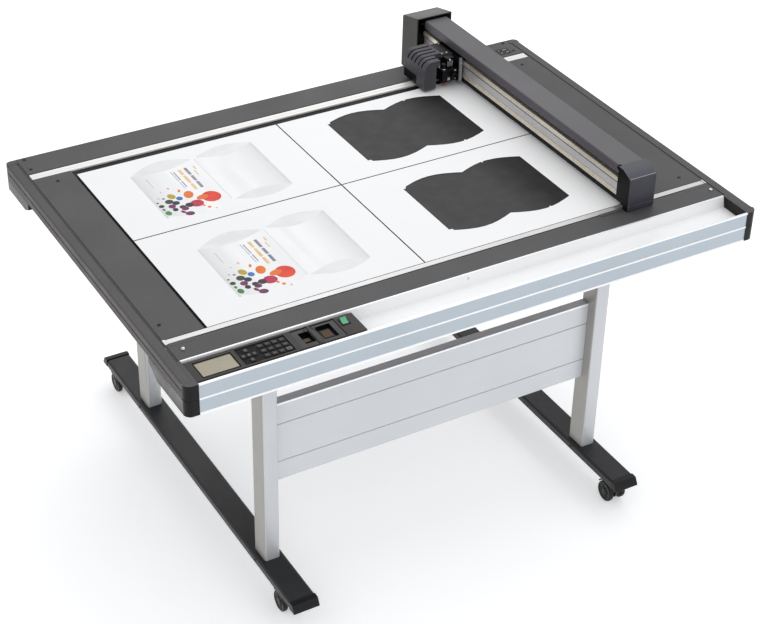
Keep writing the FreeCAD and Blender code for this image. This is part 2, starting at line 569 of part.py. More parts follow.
TRAIL = {("left", "front"): 18, ("right", "front"): -18, ("left", "rear"): 18, ("right", "rear"): 18}
for side, sname, cx, k, yk, yname in pivots:
    tag = "%s_%s" % (yname, sname)
    tr = TRAIL[(sname, yname)]
    ay = "(%s+(%d))" % (yk, tr)
    # hood: a web over the axle between the two wheels, with a boss that holds the stem
    web = cyl("hood_web_" + tag, "x", cx + "-3", ay, "wheel_dia/2", "wheel_dia/2-4", 6)
    boss = cyl("hood_boss_" + tag, "z", cx, yk, "foot_z-26", 9, 22.4)
    y_lo = yk if tr > 0 else yk + "-18"
    arm = box("hood_arm_" + tag, cx + "-3", y_lo, "wheel_dia/2+6", 6, 18, 16)
    blank = fuse("hood_blank_" + tag, [web, boss, arm])
    bore = cyl("hood_bore_" + tag, "z", cx, yk, "foot_z-23", 5.05, 24)
    axle_hole = cyl("hood_axle_" + tag, "x", cx + "-5", ay, "wheel_dia/2", 3.05, 10)
    finish(cut("hood_cut_" + tag, blank, fuse("hood_tools_" + tag, [bore, axle_hole])), "caster_hood_" + tag)
    # wheels: two rounded discs on a common axle
    axle = cyl("axle_" + tag, "x", cx + "-20", ay, "wheel_dia/2", 3, 40)
    discs = []
    for q, sgn in enumerate((-1, 1)):
        x0 = cx + ("-22" if sgn < 0 else "+10.5")
        d = cyl("disc_%s_%d" % (tag, q), "x", x0, ay, "wheel_dia/2", "wheel_dia/2", 11.5)
        f = doc.addObject("Part::Chamfer", "disc_edge_%s_%d" % (tag, q))
        doc.recompute()
        f.Base = d
        f.Edges = [(i + 1, 2.0, 2.0) for i, e in enumerate(d.Shape.Edges) if e.Curve.TypeId == "Part::GeomCircle"]
        discs.append(f)
    finish(fuse("wheels_fuse_" + tag, [axle] + discs), "caster_wheels_" + tag)

# -------------------------------------------------------------------- gantry
# Beam: an extrusion across the bed. Its left face has a lower rail and an upper
# rail for the carriage; feet at both ends run on the guide rails.
b = new_body("gantry_beam_body")
X0, X1 = "beam_x0", "beam_x1"
extrude(b, "Pad", "XZ_Plane", [[(X0, T + "+beam_z0"), (X1, T + "+beam_z0"), (X1, T + "+84"), ("beam_x0+13", T + "+84"),
                                ("beam_x0+13", T + "+61"), (X0, T + "+61"), (X0, T + "+50"), ("beam_x0+3", T + "+50"),
                                ("beam_x0+9", T + "+48.5"), ("beam_x0+9", T + "+46.5"), ("beam_x0+3", T + "+45.5"),
                                ("beam_x0+3", T + "+29"), (X0, T + "+28")],
                               rect("beam_x0+17", T + "+beam_z0+4", "beam_x1-4", T + "+80")], 160, 812)
extrude(b, "Pad", "XY_Plane", [rect(1092, 144.6, 1140, 159.9)], T + "+0.4", 30)
extrude(b, "Pad", "YZ_Plane", [[(141.8, T + "-11.2"), (143.3, T + "-11.2"), (143.3, T + "+3"), (146, T + "+3"), (146, T + "+6"), (141.8, T + "+6")]], 1094, 44)
extrude(b, "Pad", "XY_Plane", [rect(1094, 128.6, 1138, 142)], T + "-13.6", 2.4)
extrude(b, "Pad", "XY_Plane", [rect(1100, "brail_y0+1", 1140, "brail_y1-1")], T + "+0.4", "beam_z0+3")
extrude(b, "Pad", "YZ_Plane", [[(968, T + "+30"), (976, T + "+30"), (976, T + "-14"), (920.2, T + "-14"), (920.2, T + "-11"), (968, T + "-11")]], 1094, 44)
finish(b, "gantry_beam")

# Cover: a folded sheet over the beam, with a short skirt on the left.
b = new_body("gantry_cover_body")
extrude(b, "Pad", "XZ_Plane", [[("beam_x0-1", T + "+71"), ("beam_x0+1", T + "+71"), ("beam_x0+1", T + "+cover_top-4"), ("beam_x0+3", T + "+cover_top-2.5"),
                                ("beam_x1+0.7", T + "+cover_top-2.5"), ("beam_x1+2", T + "+cover_top-4"), ("beam_x1+2", T + "+12"),
                                ("beam_x1+4", T + "+12"), ("beam_x1+4", T + "+cover_top-2"), ("beam_x1+2", T + "+cover_top"),
                                ("beam_x0+1", T + "+cover_top"), ("beam_x0-1", T + "+cover_top-2")]], 166.5, 799)
finish(b, "gantry_cover")

# End caps: black shells, open towards the beam.
b = new_body("gantry_cap_front_body")
extrude(b, "Pad", "YZ_Plane", [[(123, T + "+0.8"), (166, T + "+0.8"), (166, T + "+cover_top+1"), (150, T + "+cover_top+1"), (125, T + "+80"), (123, T + "+78")]], 1082, 70)
extrude(b, "Pocket", "YZ_Plane", [[(126, T + "-2"), (170, T + "-2"), (170, T + "+cover_top-1.4"), (150.5, T + "+cover_top-1.4"), (127, T + "+77")]], 1085, 64)
extrude(b, "Pocket", "YZ_Plane", [rect(140, T, 167, T + "+12")], 1081, 5)
finish(b, "gantry_cap_front")
b = new_body("gantry_cap_back_body")
extrude(b, "Pad", "YZ_Plane", [[(966, T + "-52"), (1036, T + "-52"), ("overall_d-2", T + "-48"), ("overall_d-4", T + "+82"), (1032, T + "+85"),
                                (966, T + "+cap_top")]], 1065, 97)
extrude(b, "Pocket", "YZ_Plane", [[(960, T + "-49"), (1034, T + "-49"), (1033, T + "+80"), (1029, T + "+82.4"), (960, T + "+cap_top-2")]], 1068, 91)
finish(b, "gantry_cap_back")

# Y drive: motor in the rear cap, a pulley at each end and a belt along the recess.
mot = cyl("ymotor_case", "x", 1100.5, 990, T + "+ypul_z", 14, 40)
mplate = box("ymotor_plate", 1098, 972.2, T + "+40", 2.5, 40, 44)
mbore = cyl("ymotor_bore", "x", 1097, 990, T + "+ypul_z", 2.55, 5)
finish(cut("ymotor_cut", fuse("ymotor_fuse", [mot, mplate]), mbore), "y_motor")
for label, y, xs, ln in (("y_drive_pulley", 990, 1090, 12), ("y_idler_pulley", 148, 1090, 12)):
    rod = cyl(label + "_rod", "x", xs, y, T + "+ypul_z", 2.5 if label == "y_drive_pulley" else 2.0, 10.4)
    whl = cyl(label + "_wheel", "x", 1091, y, T + "+ypul_z", "ypul_rad", 6)
    rim = cyl(label + "_rim", "x", 1090, y, T + "+ypul_z", "ypul_rad+1", 0.8)
    finish(fuse(label + "_fuse", [rod, whl, rim]), label)
top_run = box("ybelt_top", 1092, 148, T + "+ypul_z+ypul_rad+0.3", 4.6, 842, 1)
low_run = box("ybelt_low", 1092, 148, T + "+ypul_z-ypul_rad-1.3", 4.6, 842, 1)
ends = []
for q, y in enumerate((148, 990)):
    o = cyl("ybelt_end_o%d" % q, "x", 1092, y, T + "+ypul_z", "ypul_rad+1.3", 4.6)
    i = cyl("ybelt_end_i%d" % q, "x", 1091, y, T + "+ypul_z", "ypul_rad+0.3", 7)
    ring = cut("ybelt_ring_%d" % q, o, i)
    half = box("ybelt_half_%d" % q, 1090, y if q == 0 else y - 12, T + "+ypul_z-12", 10, 12, 24)
    ends.append(cut("ybelt_bend_%d" % q, ring, half))
finish(fuse("y_belt_fuse", [top_run, low_run] + ends), "y_belt")

# ------------------------------------------------------------------ carriage
# Base: a side plate that hooks over the upper rail and under the lower one, and
# a block that the tool holder slides on.
b = new_body("carriage_base_body")
extrude(b, "Pad", "XZ_Plane", [[(1079, T + "+8"), (1085.6, T + "+8"), (1085.6, T + "+14"), (1098, T + "+14"), (1098, T + "+17.4"),
                                (1085.6, T + "+17.4"), (1085.6, T + "+61.5"), (1096, T + "+61.5"), (1096, T + "+64.6"), (1079, T + "+66")]], 792, 104)
extrude(b, "Pad", "XY_Plane", [rect(1036, 821, 1079.5, 892)], T + "+10", 50)
extrude(b, "Pocket", "XY_Plane", [rect(1044, 820, 1058, 824)], T + "+9", 60)
finish(b, "carriage_base")

# Cover: a ribbed shell whose left side rolls down, a lower shelf over the block, and a front leg.
b = new_body("carriage_cover_body")
cxr, czr, rr = 1004.0, 54.0, 22.0


def roll(r, count=9):
    """Points down the rolled left side at radius r, from its top."""
    return [(round(cxr + r * math.cos(math.pi / 2 + math.pi / 2 * i / 8), 3), T + "+%.3f" % (czr + r * math.sin(math.pi / 2 + math.pi / 2 * i / 8)))
            for i in range(count)]


prof = [(1077.5, T + "+70"), (1049, T + "+70"), (1046, T + "+76")] + roll(rr)
prof += [(982, T + "+8"), (1033, T + "+8"), (1033, T + "+62.4"), (1077.5, T + "+62.4")]
extrude(b, "Pad", "XZ_Plane", [prof], 826, 60)
front = [(1024, T + "+76")] + roll(rr) + [(982, T + "+5"), (1015, T + "+5"), (1015, T + "+58"), (1024, T + "+66")]
extrude(b, "Pad", "XZ_Plane", [front], 792, 36)
inner = [(1080, T + "+67.6"), (1046.6, T + "+67.6"), (1043.6, T + "+73.6")] + roll(rr - 2.4)
inner += [(984.4, T + "+4"), (1030.5, T + "+4"), (1030.5, T + "+61"), (1080, T + "+61")]
extrude(b, "Pocket", "XZ_Plane", [inner], 840, 44)
for k in range(5):
    extrude(b, "Pocket", "XZ_Plane", [[(1040, T + "+80")] + roll(rr + 4, 8) + roll(rr - 1.2, 8)[::-1] + [(1040, T + "+74.8")]], 806 + 15.5 * k, 4.5)
finish(b, "carriage_cover")

# Tool holder: a split block on a dovetail, with a clamp screw and the cutter.
b = new_body("tool_holder_body")
extrude(b, "Pad", "XY_Plane", [rect(1033.6, 793, 1072, 820.4)], T + "+16", 28)
extrude(b, "Pad", "XY_Plane", [rect(1044.6, 819, 1057.4, 823.4)], T + "+16", 28)
extrude(b, "Pocket", "XY_Plane", [("circle", "pen_x", "pen_y", "pen_rad+0.05")], T + "+10", 60)
extrude(b, "Pocket", "XZ_Plane", [("circle", 1060, T + "+32", 2.05)], 780, 34)
finish(b, "tool_holder")
knob = cyl("clamp_knob", "y", 1060, 781, T + "+32", 6, 9)
collar = cyl("clamp_collar", "y", 1060, 790, T + "+32", 3.5, 2.6)
stem = cyl("clamp_stem", "y", 1060, 792, T + "+32", 2, 18)
finish(fuse("clamp_fuse", [knob, collar, stem]), "clamp_screw")
pen = cyl("pen_barrel", "z", "pen_x", "pen_y", T + "+9", "pen_rad", 50)
flange = cyl("pen_flange", "z", "pen_x", "pen_y", T + "+44.3", 7, 3)
nose = doc.addObject("Part::Cone", "pen_nose")
for prop, e in (("Radius1", 2.6), ("Radius2", 5.2), ("Height", 5.5), ("Placement.Base.x", "pen_x"), ("Placement.Base.y", "pen_y"),
                ("Placement.Base.z", T + "+4.0")):
    bind(nose, prop, e)
blade = cyl("pen_blade", "z", "pen_x", "pen_y", T + "+2.3", 0.5, 3)
finish(fuse("pen_fuse", [pen, flange, nose, blade]), "cutter_pen")

# ------------------------------------------------------------------- checking
doc.recompute()
bad = [o.Name for o in doc.Objects if any(s in ("Invalid", "Error") for s in o.State)]
if bad:
    raise RuntimeError("failed objects: %s" % bad)
total = Part.Compound([o.Shape for o in NODES]).BoundBox
for o in NODES:
    s = o.Shape
    if s.isNull() or not s.isValid() or not s.Solids:
        raise RuntimeError("bad shape: " + o.Label)
assert len(NODES) <= 60 and len(set(o.Label for o in NODES)) == len(NODES)

os.makedirs("parts", exist_ok=True)
for o in NODES:
    o.Shape.exportStep("parts/%s.step" % o.Label)
print(len(NODES), "sub-parts,", sum(len(o.Shape.Solids) for o in NODES), "solids")
print("box", [round(v, 2) for v in (total.XMin, total.YMin, total.ZMin, total.XMax, total.YMax, total.ZMax)])
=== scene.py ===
import json
import math
import random

import bmesh
import bpy
from mathutils import Matrix, Vector


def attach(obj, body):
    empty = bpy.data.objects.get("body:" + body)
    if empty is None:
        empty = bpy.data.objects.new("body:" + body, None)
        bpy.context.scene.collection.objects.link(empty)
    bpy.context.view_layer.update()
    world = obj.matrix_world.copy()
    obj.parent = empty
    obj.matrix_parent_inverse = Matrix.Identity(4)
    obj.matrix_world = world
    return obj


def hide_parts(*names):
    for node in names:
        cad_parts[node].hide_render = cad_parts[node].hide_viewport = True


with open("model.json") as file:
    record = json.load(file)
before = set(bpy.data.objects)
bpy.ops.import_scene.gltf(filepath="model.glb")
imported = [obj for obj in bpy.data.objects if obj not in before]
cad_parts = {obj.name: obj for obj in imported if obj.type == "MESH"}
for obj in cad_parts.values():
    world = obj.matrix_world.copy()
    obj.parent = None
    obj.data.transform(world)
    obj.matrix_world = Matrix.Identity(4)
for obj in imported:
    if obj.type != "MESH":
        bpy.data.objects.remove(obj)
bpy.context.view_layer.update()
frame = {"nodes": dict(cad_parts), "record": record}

random.seed(7)

NODES = frame["nodes"]
BODY_OF = {n: b for b, ns in frame["record"]["behaviour"]["bodies"].items() for n in ns}
T = 740.0


# The design frame: X from the table's left side, Y from the front rail's face,
# Z from the floor, in millimetres.
def W(x, y, z):
    return Vector(((x - 668.0) / 1000.0, (y - 520.0) / 1000.0, z / 1000.0))


def mm(p):
    return (p[0] * 1000.0 + 668.0, p[1] * 1000.0 + 520.0, p[2] * 1000.0)


def lin(r, g, b):
    out = []
    for c in (r, g, b):
        c /= 255.0
        out.append(c / 12.92 if c <= 0.04045 else ((c + 0.055) / 1.055) ** 2.4)
    return tuple(out) + (1.0,)


def mul(c, k):
    return (min(1.0, c[0] * k), min(1.0, c[1] * k), min(1.0, c[2] * k), 1.0)


# ------------------------------------------------------------------- materials
class Mat:
    """A procedural material on one Principled shader."""

    def __init__(self, name):
        self.m = bpy.data.materials.new(name)
        self.m.use_nodes = True
        self.nt = self.m.node_tree
        self.nt.nodes.clear()
        out = self.add("ShaderNodeOutputMaterial")
        self.p = self.add("ShaderNodeBsdfPrincipled")
        self.nt.links.new(self.p.outputs[0], out.inputs[0])
        self.coord = self.add("ShaderNodeTexCoord").outputs["Object"]

    def add(self, kind, **props):
        n = self.nt.nodes.new(kind)
        for k, v in props.items():
            setattr(n, k, v)
        return n

    def link(self, a, b):
        self.nt.links.new(a, b)

    def scaled(self, sx, sy, sz):
        mp = self.add("ShaderNodeMapping")
        mp.inputs["Scale"].default_value = (sx, sy, sz)
        self.link(self.coord, mp.inputs["Vector"])
        return mp.outputs[0]

    def noise(self, scale, detail=3.0, rough=0.5, vec=None, dist=0.0):
        n = self.add("ShaderNodeTexNoise")
        n.inputs["Scale"].default_value = scale
        n.inputs["Detail"].default_value = detail
        n.inputs["Roughness"].default_value = rough
        n.inputs["Distortion"].default_value = dist
        self.link(vec or self.coord, n.inputs["Vector"])
        return n.outputs[0]

    def span(self, value, a, b, c, d):
        n = self.add("ShaderNodeMapRange")
        for k, v in (("From Min", a), ("From Max", b), ("To Min", c), ("To Max", d)):
            n.inputs[k].default_value = v
        self.link(value, n.inputs["Value"])
        return n.outputs[0]

    def math(self, op, a, b=None):
        n = self.add("ShaderNodeMath", operation=op)
        for i, v in enumerate((a, b)):
            if v is None:
                continue
            if isinstance(v, (int, float)):
                n.inputs[i].default_value = v
            else:
                self.link(v, n.inputs[i])
        return n.outputs[0]

    def mix(self, fac, a, b, mode="MIX"):
        n = self.add("ShaderNodeMix", data_type="RGBA", blend_type=mode)
        for sock, v in ((n.inputs[0], fac), (n.inputs[6], a), (n.inputs[7], b)):
            if isinstance(v, (int, float)):
                sock.default_value = v
            elif isinstance(v, tuple):
                sock.default_value = v
            else:
                self.link(v, sock)
        return n.outputs[2]

    def bump(self, height, strength, distance, base=None):
        n = self.add("ShaderNodeBump")
        n.inputs["Strength"].default_value = strength
        n.inputs["Distance"].default_value = distance
        self.link(height, n.inputs["Height"])
        if base is not None:
            self.link(base, n.inputs["Normal"])
        return n.outputs[0]

    def edges(self, radius=0.0012, sharp=0.25):
        """1 along sharp edges, broken up by noise, and 0 on flat ground."""
        bev = self.add("ShaderNodeBevel", samples=4)
        bev.inputs["Radius"].default_value = radius
        geo = self.add("ShaderNodeNewGeometry")
        dot = self.add("ShaderNodeVectorMath", operation="DOT_PRODUCT")
        self.link(bev.outputs[0], dot.inputs[0])
        self.link(geo.outputs["Normal"], dot.inputs[1])
        m = self.span(dot.outputs["Value"], 1.0 - sharp, 0.995, 1.0, 0.0)
        broken = self.span(self.noise(140.0, 4.0, 0.65), 0.42, 0.62, 0.15, 1.0)
        return self.math("MULTIPLY", m, broken)

    def xyz(self):
        s = self.add("ShaderNodeSeparateXYZ")
        self.link(self.coord, s.inputs[0])
        return s.outputs[0], s.outputs[1], s.outputs[2]


def surface(name, color, rough=0.5, rough_var=0.08, metal=0.0, spec=0.5, coat=0.0, coat_rough=0.1,
            cloud=(7.0, 0.06), grain=(1300.0, 0.10, 0.00003), brush=None, wear=None, dust=0.0, speck=None):
    """A painted, moulded or metal surface: broad tone variation, fine grain, optional brushing along an axis, and worn edges."""
    m = Mat(name)
    p = m.p
    p.inputs["Metallic"].default_value = metal
    p.inputs["Specular IOR Level"].default_value = spec
    p.inputs["Coat Weight"].default_value = coat
    p.inputs["Coat Roughness"].default_value = coat_rough
    big = m.noise(cloud[0], 4.0, 0.55)
    tone = m.span(big, 0.3, 0.7, 1.0 - cloud[1], 1.0 + cloud[1])
    n = m.add("ShaderNodeVectorMath", operation="SCALE")
    n.inputs[0].default_value = color[:3]
    m.link(tone, n.inputs["Scale"])
    col = n.outputs[0]
    fine = m.noise(grain[0], 2.0, 0.6)
    if grain[1]:
        col = m.mix(m.span(fine, 0.35, 0.65, 0.0, grain[1]), col, mul(color, 1.5))
    if speck:
        sp = m.noise(speck[0], 1.0, 0.5)
        col = m.mix(m.span(sp, 0.62, 0.7, 0.0, speck[1]), col, speck[2])
    r = m.span(m.noise(cloud[0] * 3.1, 5.0, 0.6), 0.3, 0.7, rough - rough_var, rough + rough_var)
    height = fine
    if brush:
        axis, across, amount = brush
        sc = [across] * 3
        sc[axis] = across / 260.0
        lines = m.noise(1.0, 3.0, 0.7, vec=m.scaled(*sc))
        r = m.math("ADD", r, m.span(lines, 0.3, 0.7, -amount, amount))
        col = m.mix(m.span(lines, 0.35, 0.65, 0.0, 0.22), col, mul(color, 1.22))
        height = lines
    if wear:
        mask = m.edges(wear[2] if len(wear) > 2 else 0.0012)
        mask = m.math("MULTIPLY", mask, wear[1])
        col = m.mix(mask, col, wear[0])
        r = m.math("SUBTRACT", r, m.math("MULTIPLY", mask, 0.12))
    if dust:
        geo = m.add("ShaderNodeNewGeometry")
        sep = m.add("ShaderNodeSeparateXYZ")
        m.link(geo.outputs["Normal"], sep.inputs[0])
        up = m.span(sep.outputs[2], 0.6, 1.0, 0.0, dust)
        patch = m.math("MULTIPLY", up, m.span(m.noise(16.0, 6.0, 0.7), 0.45, 0.75, 0.0, 1.0))
        col = m.mix(patch, col, lin(150, 146, 140))
    m.link(col, p.inputs["Base Color"])
    m.link(r, p.inputs["Roughness"])
    m.link(m.bump(height, 0.35, grain[2]), p.inputs["Normal"])
    return m.m


grey_top = surface("grey_paint_top", lin(80, 79, 80), spec=0.3, rough=0.52, grain=(1100.0, 0.16, 0.00004), cloud=(2.6, 0.07),
                   wear=(lin(150, 150, 150), 0.35, 0.0008), dust=0.05)
grey_wall = surface("grey_paint_wall", lin(78, 74, 71), spec=0.22, rough=0.48, grain=(1100.0, 0.14, 0.00004), cloud=(4.0, 0.08),
                    brush=(1, 900.0, 0.04), wear=(lin(170, 165, 160), 0.4, 0.0008))
black_gloss = surface("black_moulding_gloss", lin(13, 13, 14), spec=0.2, rough=0.24, rough_var=0.06, coat=0, coat_rough=0.12,
                      grain=(1700.0, 0.05, 0.00001), wear=(lin(110, 112, 118), 0.35, 0.0011))
# near-black for real black parts and, as painted shade, for the insides of grooves, slots and recesses
recess_black_and_shade = surface("black_recess_and_painted_shade", lin(10, 10, 10), spec=0.1, rough=0.6, grain=(900.0, 0.1, 0.00003))
satin_alu = surface("satin_aluminium", lin(176, 185, 193), rough=0.42, rough_var=0.05, metal=0.55, cloud=(3.0, 0.035), grain=(1500.0, 0.0, 0.00002),
                    brush=(0, 1500.0, 0.07), wear=(lin(246, 248, 250), 0.55, 0.0008))
# painted highlight: a whiter copy of the rail's aluminium for the lips and edges that catch the light
lip_painted_highlight = surface("lip_painted_highlight", lin(246, 248, 250), rough=0.30, rough_var=0.05, metal=0.35, cloud=(5.0, 0.02), grain=(1500.0, 0.0, 0.00001),
                     brush=(0, 1700.0, 0.06), wear=(lin(255, 255, 255), 0.6, 0.0006))
tray_silver = surface("tray_silver", lin(250, 250, 250), rough=0.40, rough_var=0.06, metal=0.05, cloud=(3.0, 0.03), grain=(1500.0, 0.0, 0.00002),
                      brush=(0, 1300.0, 0.06), wear=(lin(252, 252, 252), 0.5, 0.0008))
rail_alu = surface("guide_rail_aluminium", lin(214, 213, 212), rough=0.33, rough_var=0.06, metal=0.5, cloud=(5.0, 0.04), grain=(1600.0, 0.0, 0.00002),
                   brush=(0, 1500.0, 0.08), wear=(lin(248, 248, 246), 0.6, 0.0007))
rail_white = surface("guide_rail_white", lin(240, 238, 234), rough=0.33, rough_var=0.05, metal=0.2, cloud=(5.0, 0.04), grain=(1600.0, 0.0, 0.00002),
                     brush=(0, 1500.0, 0.07), wear=(lin(252, 252, 250), 0.6, 0.0007))
beam_face = surface("beam_face", lin(196, 196, 198), rough=0.36, rough_var=0.05, metal=0.45, cloud=(4.0, 0.06), grain=(1500.0, 0.0, 0.00002),
                    brush=(1, 1500.0, 0.07), wear=(lin(240, 238, 232), 0.6, 0.0007))
beam_warm = surface("beam_rail_warm", lin(216, 207, 192), rough=0.28, rough_var=0.05, metal=0.6, cloud=(6.0, 0.06), grain=(1500.0, 0.0, 0.00002),
                    brush=(1, 1500.0, 0.07), wear=(lin(250, 242, 226), 0.6, 0.0007))
gantry_top = surface("gantry_grey_top", lin(99, 97, 99), spec=0.3, rough=0.46, grain=(1100.0, 0.14, 0.00003), cloud=(3.0, 0.07),
                     wear=(lin(190, 188, 186), 0.4, 0.0009))
# painted shade: a darker copy of the cover's grey for its side faces
gantry_side_painted_shade = surface("gantry_grey_side_painted_shade", lin(84, 80, 87), spec=0.3, rough=0.46, grain=(1100.0, 0.14, 0.00003), cloud=(3.0, 0.07),
                      wear=(lin(190, 186, 186), 0.4, 0.0009))
cap_front_m = surface("cap_front_moulding", lin(58, 57, 66), spec=0.3, rough=0.34, rough_var=0.05, coat=0, coat_rough=0.2, grain=(1500.0, 0.10, 0.00002),
                      cloud=(9.0, 0.08), wear=(lin(140, 140, 150), 0.5, 0.0014))
cap_facet_m = surface("cap_facet_moulding", lin(80, 79, 88), spec=0.35, rough=0.38, rough_var=0.05, grain=(1300.0, 0.16, 0.00003),
                      cloud=(9.0, 0.08), wear=(lin(150, 150, 160), 0.5, 0.0014))
cap_side_m = surface("cap_side_moulding", lin(7, 7, 8), spec=0.12, rough=0.36, rough_var=0.05, grain=(1500.0, 0.06, 0.00002),
                     wear=(lin(110, 110, 118), 0.35, 0.0014))
cap_back_m = surface("cap_back_moulding", lin(58, 58, 53), spec=0.25, rough=0.50, rough_var=0.05, grain=(1200.0, 0.16, 0.00003), cloud=(7.0, 0.08),
                     brush=(2, 700.0, 0.03), wear=(lin(150, 148, 140), 0.35, 0.0014))
cap_back_top = surface("cap_back_top", lin(94, 93, 94), spec=0.3, rough=0.48, grain=(1200.0, 0.16, 0.00003), cloud=(7.0, 0.08),
                       wear=(lin(150, 148, 140), 0.35, 0.0014))
# near-black for real interiors and, as painted shade, for faces that lie in shadow
dark_inside_and_shade = surface("dark_interior_and_painted_shade", lin(12, 12, 12), spec=0.1, rough=0.62, grain=(900.0, 0.12, 0.00003))
carriage_m = surface("carriage_moulding", lin(68, 67, 72), spec=0.3, rough=0.44, rough_var=0.05, grain=(1500.0, 0.16, 0.00003), cloud=(14.0, 0.08),
                     wear=(lin(170, 168, 178), 0.5, 0.0010))
black_metal = surface("black_anodised", lin(20, 20, 22), spec=0.3, rough=0.34, metal=0.5, grain=(1500.0, 0.08, 0.00002), wear=(lin(150, 150, 154), 0.5, 0.0006))
steel = surface("turned_steel", lin(206, 206, 206), rough=0.20, rough_var=0.05, metal=1.0, cloud=(60.0, 0.06), grain=(2600.0, 0.0, 0.00001),
                brush=(0, 2600.0, 0.06), wear=(lin(240, 240, 240), 0.5, 0.0004))
grey_bracket = surface("bracket_grey", lin(150, 150, 156), rough=0.40, metal=0.3, grain=(1500.0, 0.1, 0.00002), wear=(lin(220, 220, 222), 0.5, 0.0006))
screw_black = surface("black_oxide_screw", lin(46, 45, 45), rough=0.36, metal=0.6, grain=(2600.0, 0.1, 0.00001), wear=(lin(140, 140, 140), 0.6, 0.0004))
panel_m = surface("panel_moulding", lin(50, 47, 44), spec=0.25, rough=0.40, rough_var=0.05, grain=(1600.0, 0.14, 0.00003), cloud=(9.0, 0.07),
                  wear=(lin(150, 146, 138), 0.45, 0.0008))
key_m = surface("key_rubber", lin(46, 45, 46), spec=0.3, rough=0.5, grain=(1900.0, 0.12, 0.00002), cloud=(30.0, 0.08), wear=(lin(150, 148, 150), 0.5, 0.0006))
key_web = surface("key_web", lin(18, 17, 17), spec=0.15, rough=0.55, grain=(1900.0, 0.10, 0.00002), cloud=(30.0, 0.08))
legend_m = surface("key_legend", lin(128, 128, 132), rough=0.5, grain=(2400.0, 0.05, 0.00001), cloud=(40.0, 0.06))
legend_blue = surface("key_outline", lin(150, 156, 182), rough=0.45, grain=(2400.0, 0.05, 0.00001), cloud=(40.0, 0.06))
port_m = surface("port_gloss", lin(7, 7, 7), spec=0.3, rough=0.16, rough_var=0.05, coat=0.0, coat_rough=0.08, grain=(1500.0, 0.02, 0.00001),
                 wear=(lin(90, 90, 88), 0.35, 0.0008))
port_rib = surface("port_rib", lin(44, 44, 42), spec=0.25, rough=0.34, grain=(1500.0, 0.08, 0.00001), wear=(lin(120, 120, 116), 0.5, 0.0008))
gold = surface("contact_metal", lin(92, 76, 46), rough=0.28, metal=1.0, cloud=(80.0, 0.08), grain=(2600.0, 0.0, 0.00001), brush=(1, 2200.0, 0.05))
# painted light: a brighter, lit green for the rocker's upward faces and a darker, shaded green for the rest
green_painted_lit = surface("rocker_green_painted_lit", lin(62, 172, 118), rough=0.22, rough_var=0.05, coat=0.4, coat_rough=0.1, grain=(2000.0, 0.06, 0.00001),
                    cloud=(60.0, 0.10), wear=(lin(190, 235, 212), 0.5, 0.0007))
green_painted_shade = surface("rocker_green_painted_shade", lin(20, 112, 66), rough=0.24, rough_var=0.05, coat=0.4, coat_rough=0.1, grain=(2000.0, 0.06, 0.00001),
                     cloud=(60.0, 0.10), wear=(lin(120, 210, 170), 0.5, 0.0007))
# painted shade: a darker copy of the stand's silver for the legs' left-facing faces
stand_side_painted_shade = surface("stand_silver_side_painted_shade", lin(160, 158, 153), rough=0.40, rough_var=0.06, metal=0.30, cloud=(3.4, 0.035), grain=(1500.0, 0.06, 0.00002),
                     brush=(2, 1200.0, 0.05), wear=(lin(236, 236, 234), 0.45, 0.0010))
stand_front = surface("stand_silver", lin(198, 200, 203), rough=0.40, rough_var=0.06, metal=0.30, cloud=(3.4, 0.035), grain=(1500.0, 0.06, 0.00002),
                      brush=(2, 1200.0, 0.05), wear=(lin(240, 242, 244), 0.45, 0.0010))
slat_m = surface("slat_silver", lin(206, 208, 211), rough=0.42, rough_var=0.06, metal=0.22, cloud=(2.6, 0.035), grain=(1500.0, 0.06, 0.00002),
                 brush=(0, 1200.0, 0.05), wear=(lin(248, 250, 252), 0.6, 0.0012))
slat_top = surface("slat_top_shade", lin(238, 234, 235), rough=0.45, spec=0.3, metal=0.2, grain=(1500.0, 0.06, 0.00002), cloud=(3.0, 0.06), brush=(0, 1200.0, 0.05), wear=(lin(200, 200, 202), 0.5, 0.0012))
foot_m = surface("foot_black", lin(34, 34, 36), spec=0.35, rough=0.42, rough_var=0.06, coat=0.05, coat_rough=0.22, grain=(1300.0, 0.14, 0.00003), cloud=(5.0, 0.10),
                 wear=(lin(120, 120, 124), 0.35, 0.0010), dust=0.04)
foot_cap_m = surface("foot_cap_black", lin(20, 20, 22), spec=0.25, rough=0.34, rough_var=0.05, grain=(1300.0, 0.10, 0.00002), wear=(lin(110, 110, 114), 0.35, 0.0010))
nylon = surface("caster_nylon", lin(14, 14, 15), spec=0.25, rough=0.30, rough_var=0.06, coat=0.05, coat_rough=0.2, grain=(1500.0, 0.08, 0.00002),
                wear=(lin(110, 110, 114), 0.4, 0.0009))
tread = surface("caster_tread", lin(20, 20, 21), spec=0.25, rough=0.46, grain=(1300.0, 0.12, 0.00003), cloud=(60.0, 0.12), wear=(lin(96, 94, 92), 0.4, 0.0009), dust=0.1)
pan_m = surface("pan_paint", lin(62, 62, 64), rough=0.55, grain=(1000.0, 0.14, 0.00004), cloud=(3.0, 0.1), wear=(lin(130, 130, 132), 0.3, 0.001))
bed_m = surface("bed_black", lin(20, 20, 20), spec=0.2, rough=0.50, grain=(1000.0, 0.12, 0.00003), cloud=(3.0, 0.08), wear=(lin(110, 108, 106), 0.3, 0.0008))
belt_m = surface("belt_rubber", lin(12, 12, 12), spec=0.15, rough=0.62, grain=(1600.0, 0.12, 0.00003), cloud=(30.0, 0.1))
motor_m = surface("motor_case", lin(38, 38, 40), rough=0.42, metal=0.3, grain=(1300.0, 0.12, 0.00003), wear=(lin(140, 140, 144), 0.4, 0.001))
inlet_m = surface("inlet_moulding", lin(18, 18, 19), spec=0.25, rough=0.42, grain=(1500.0, 0.10, 0.00002), wear=(lin(110, 110, 112), 0.35, 0.0008))
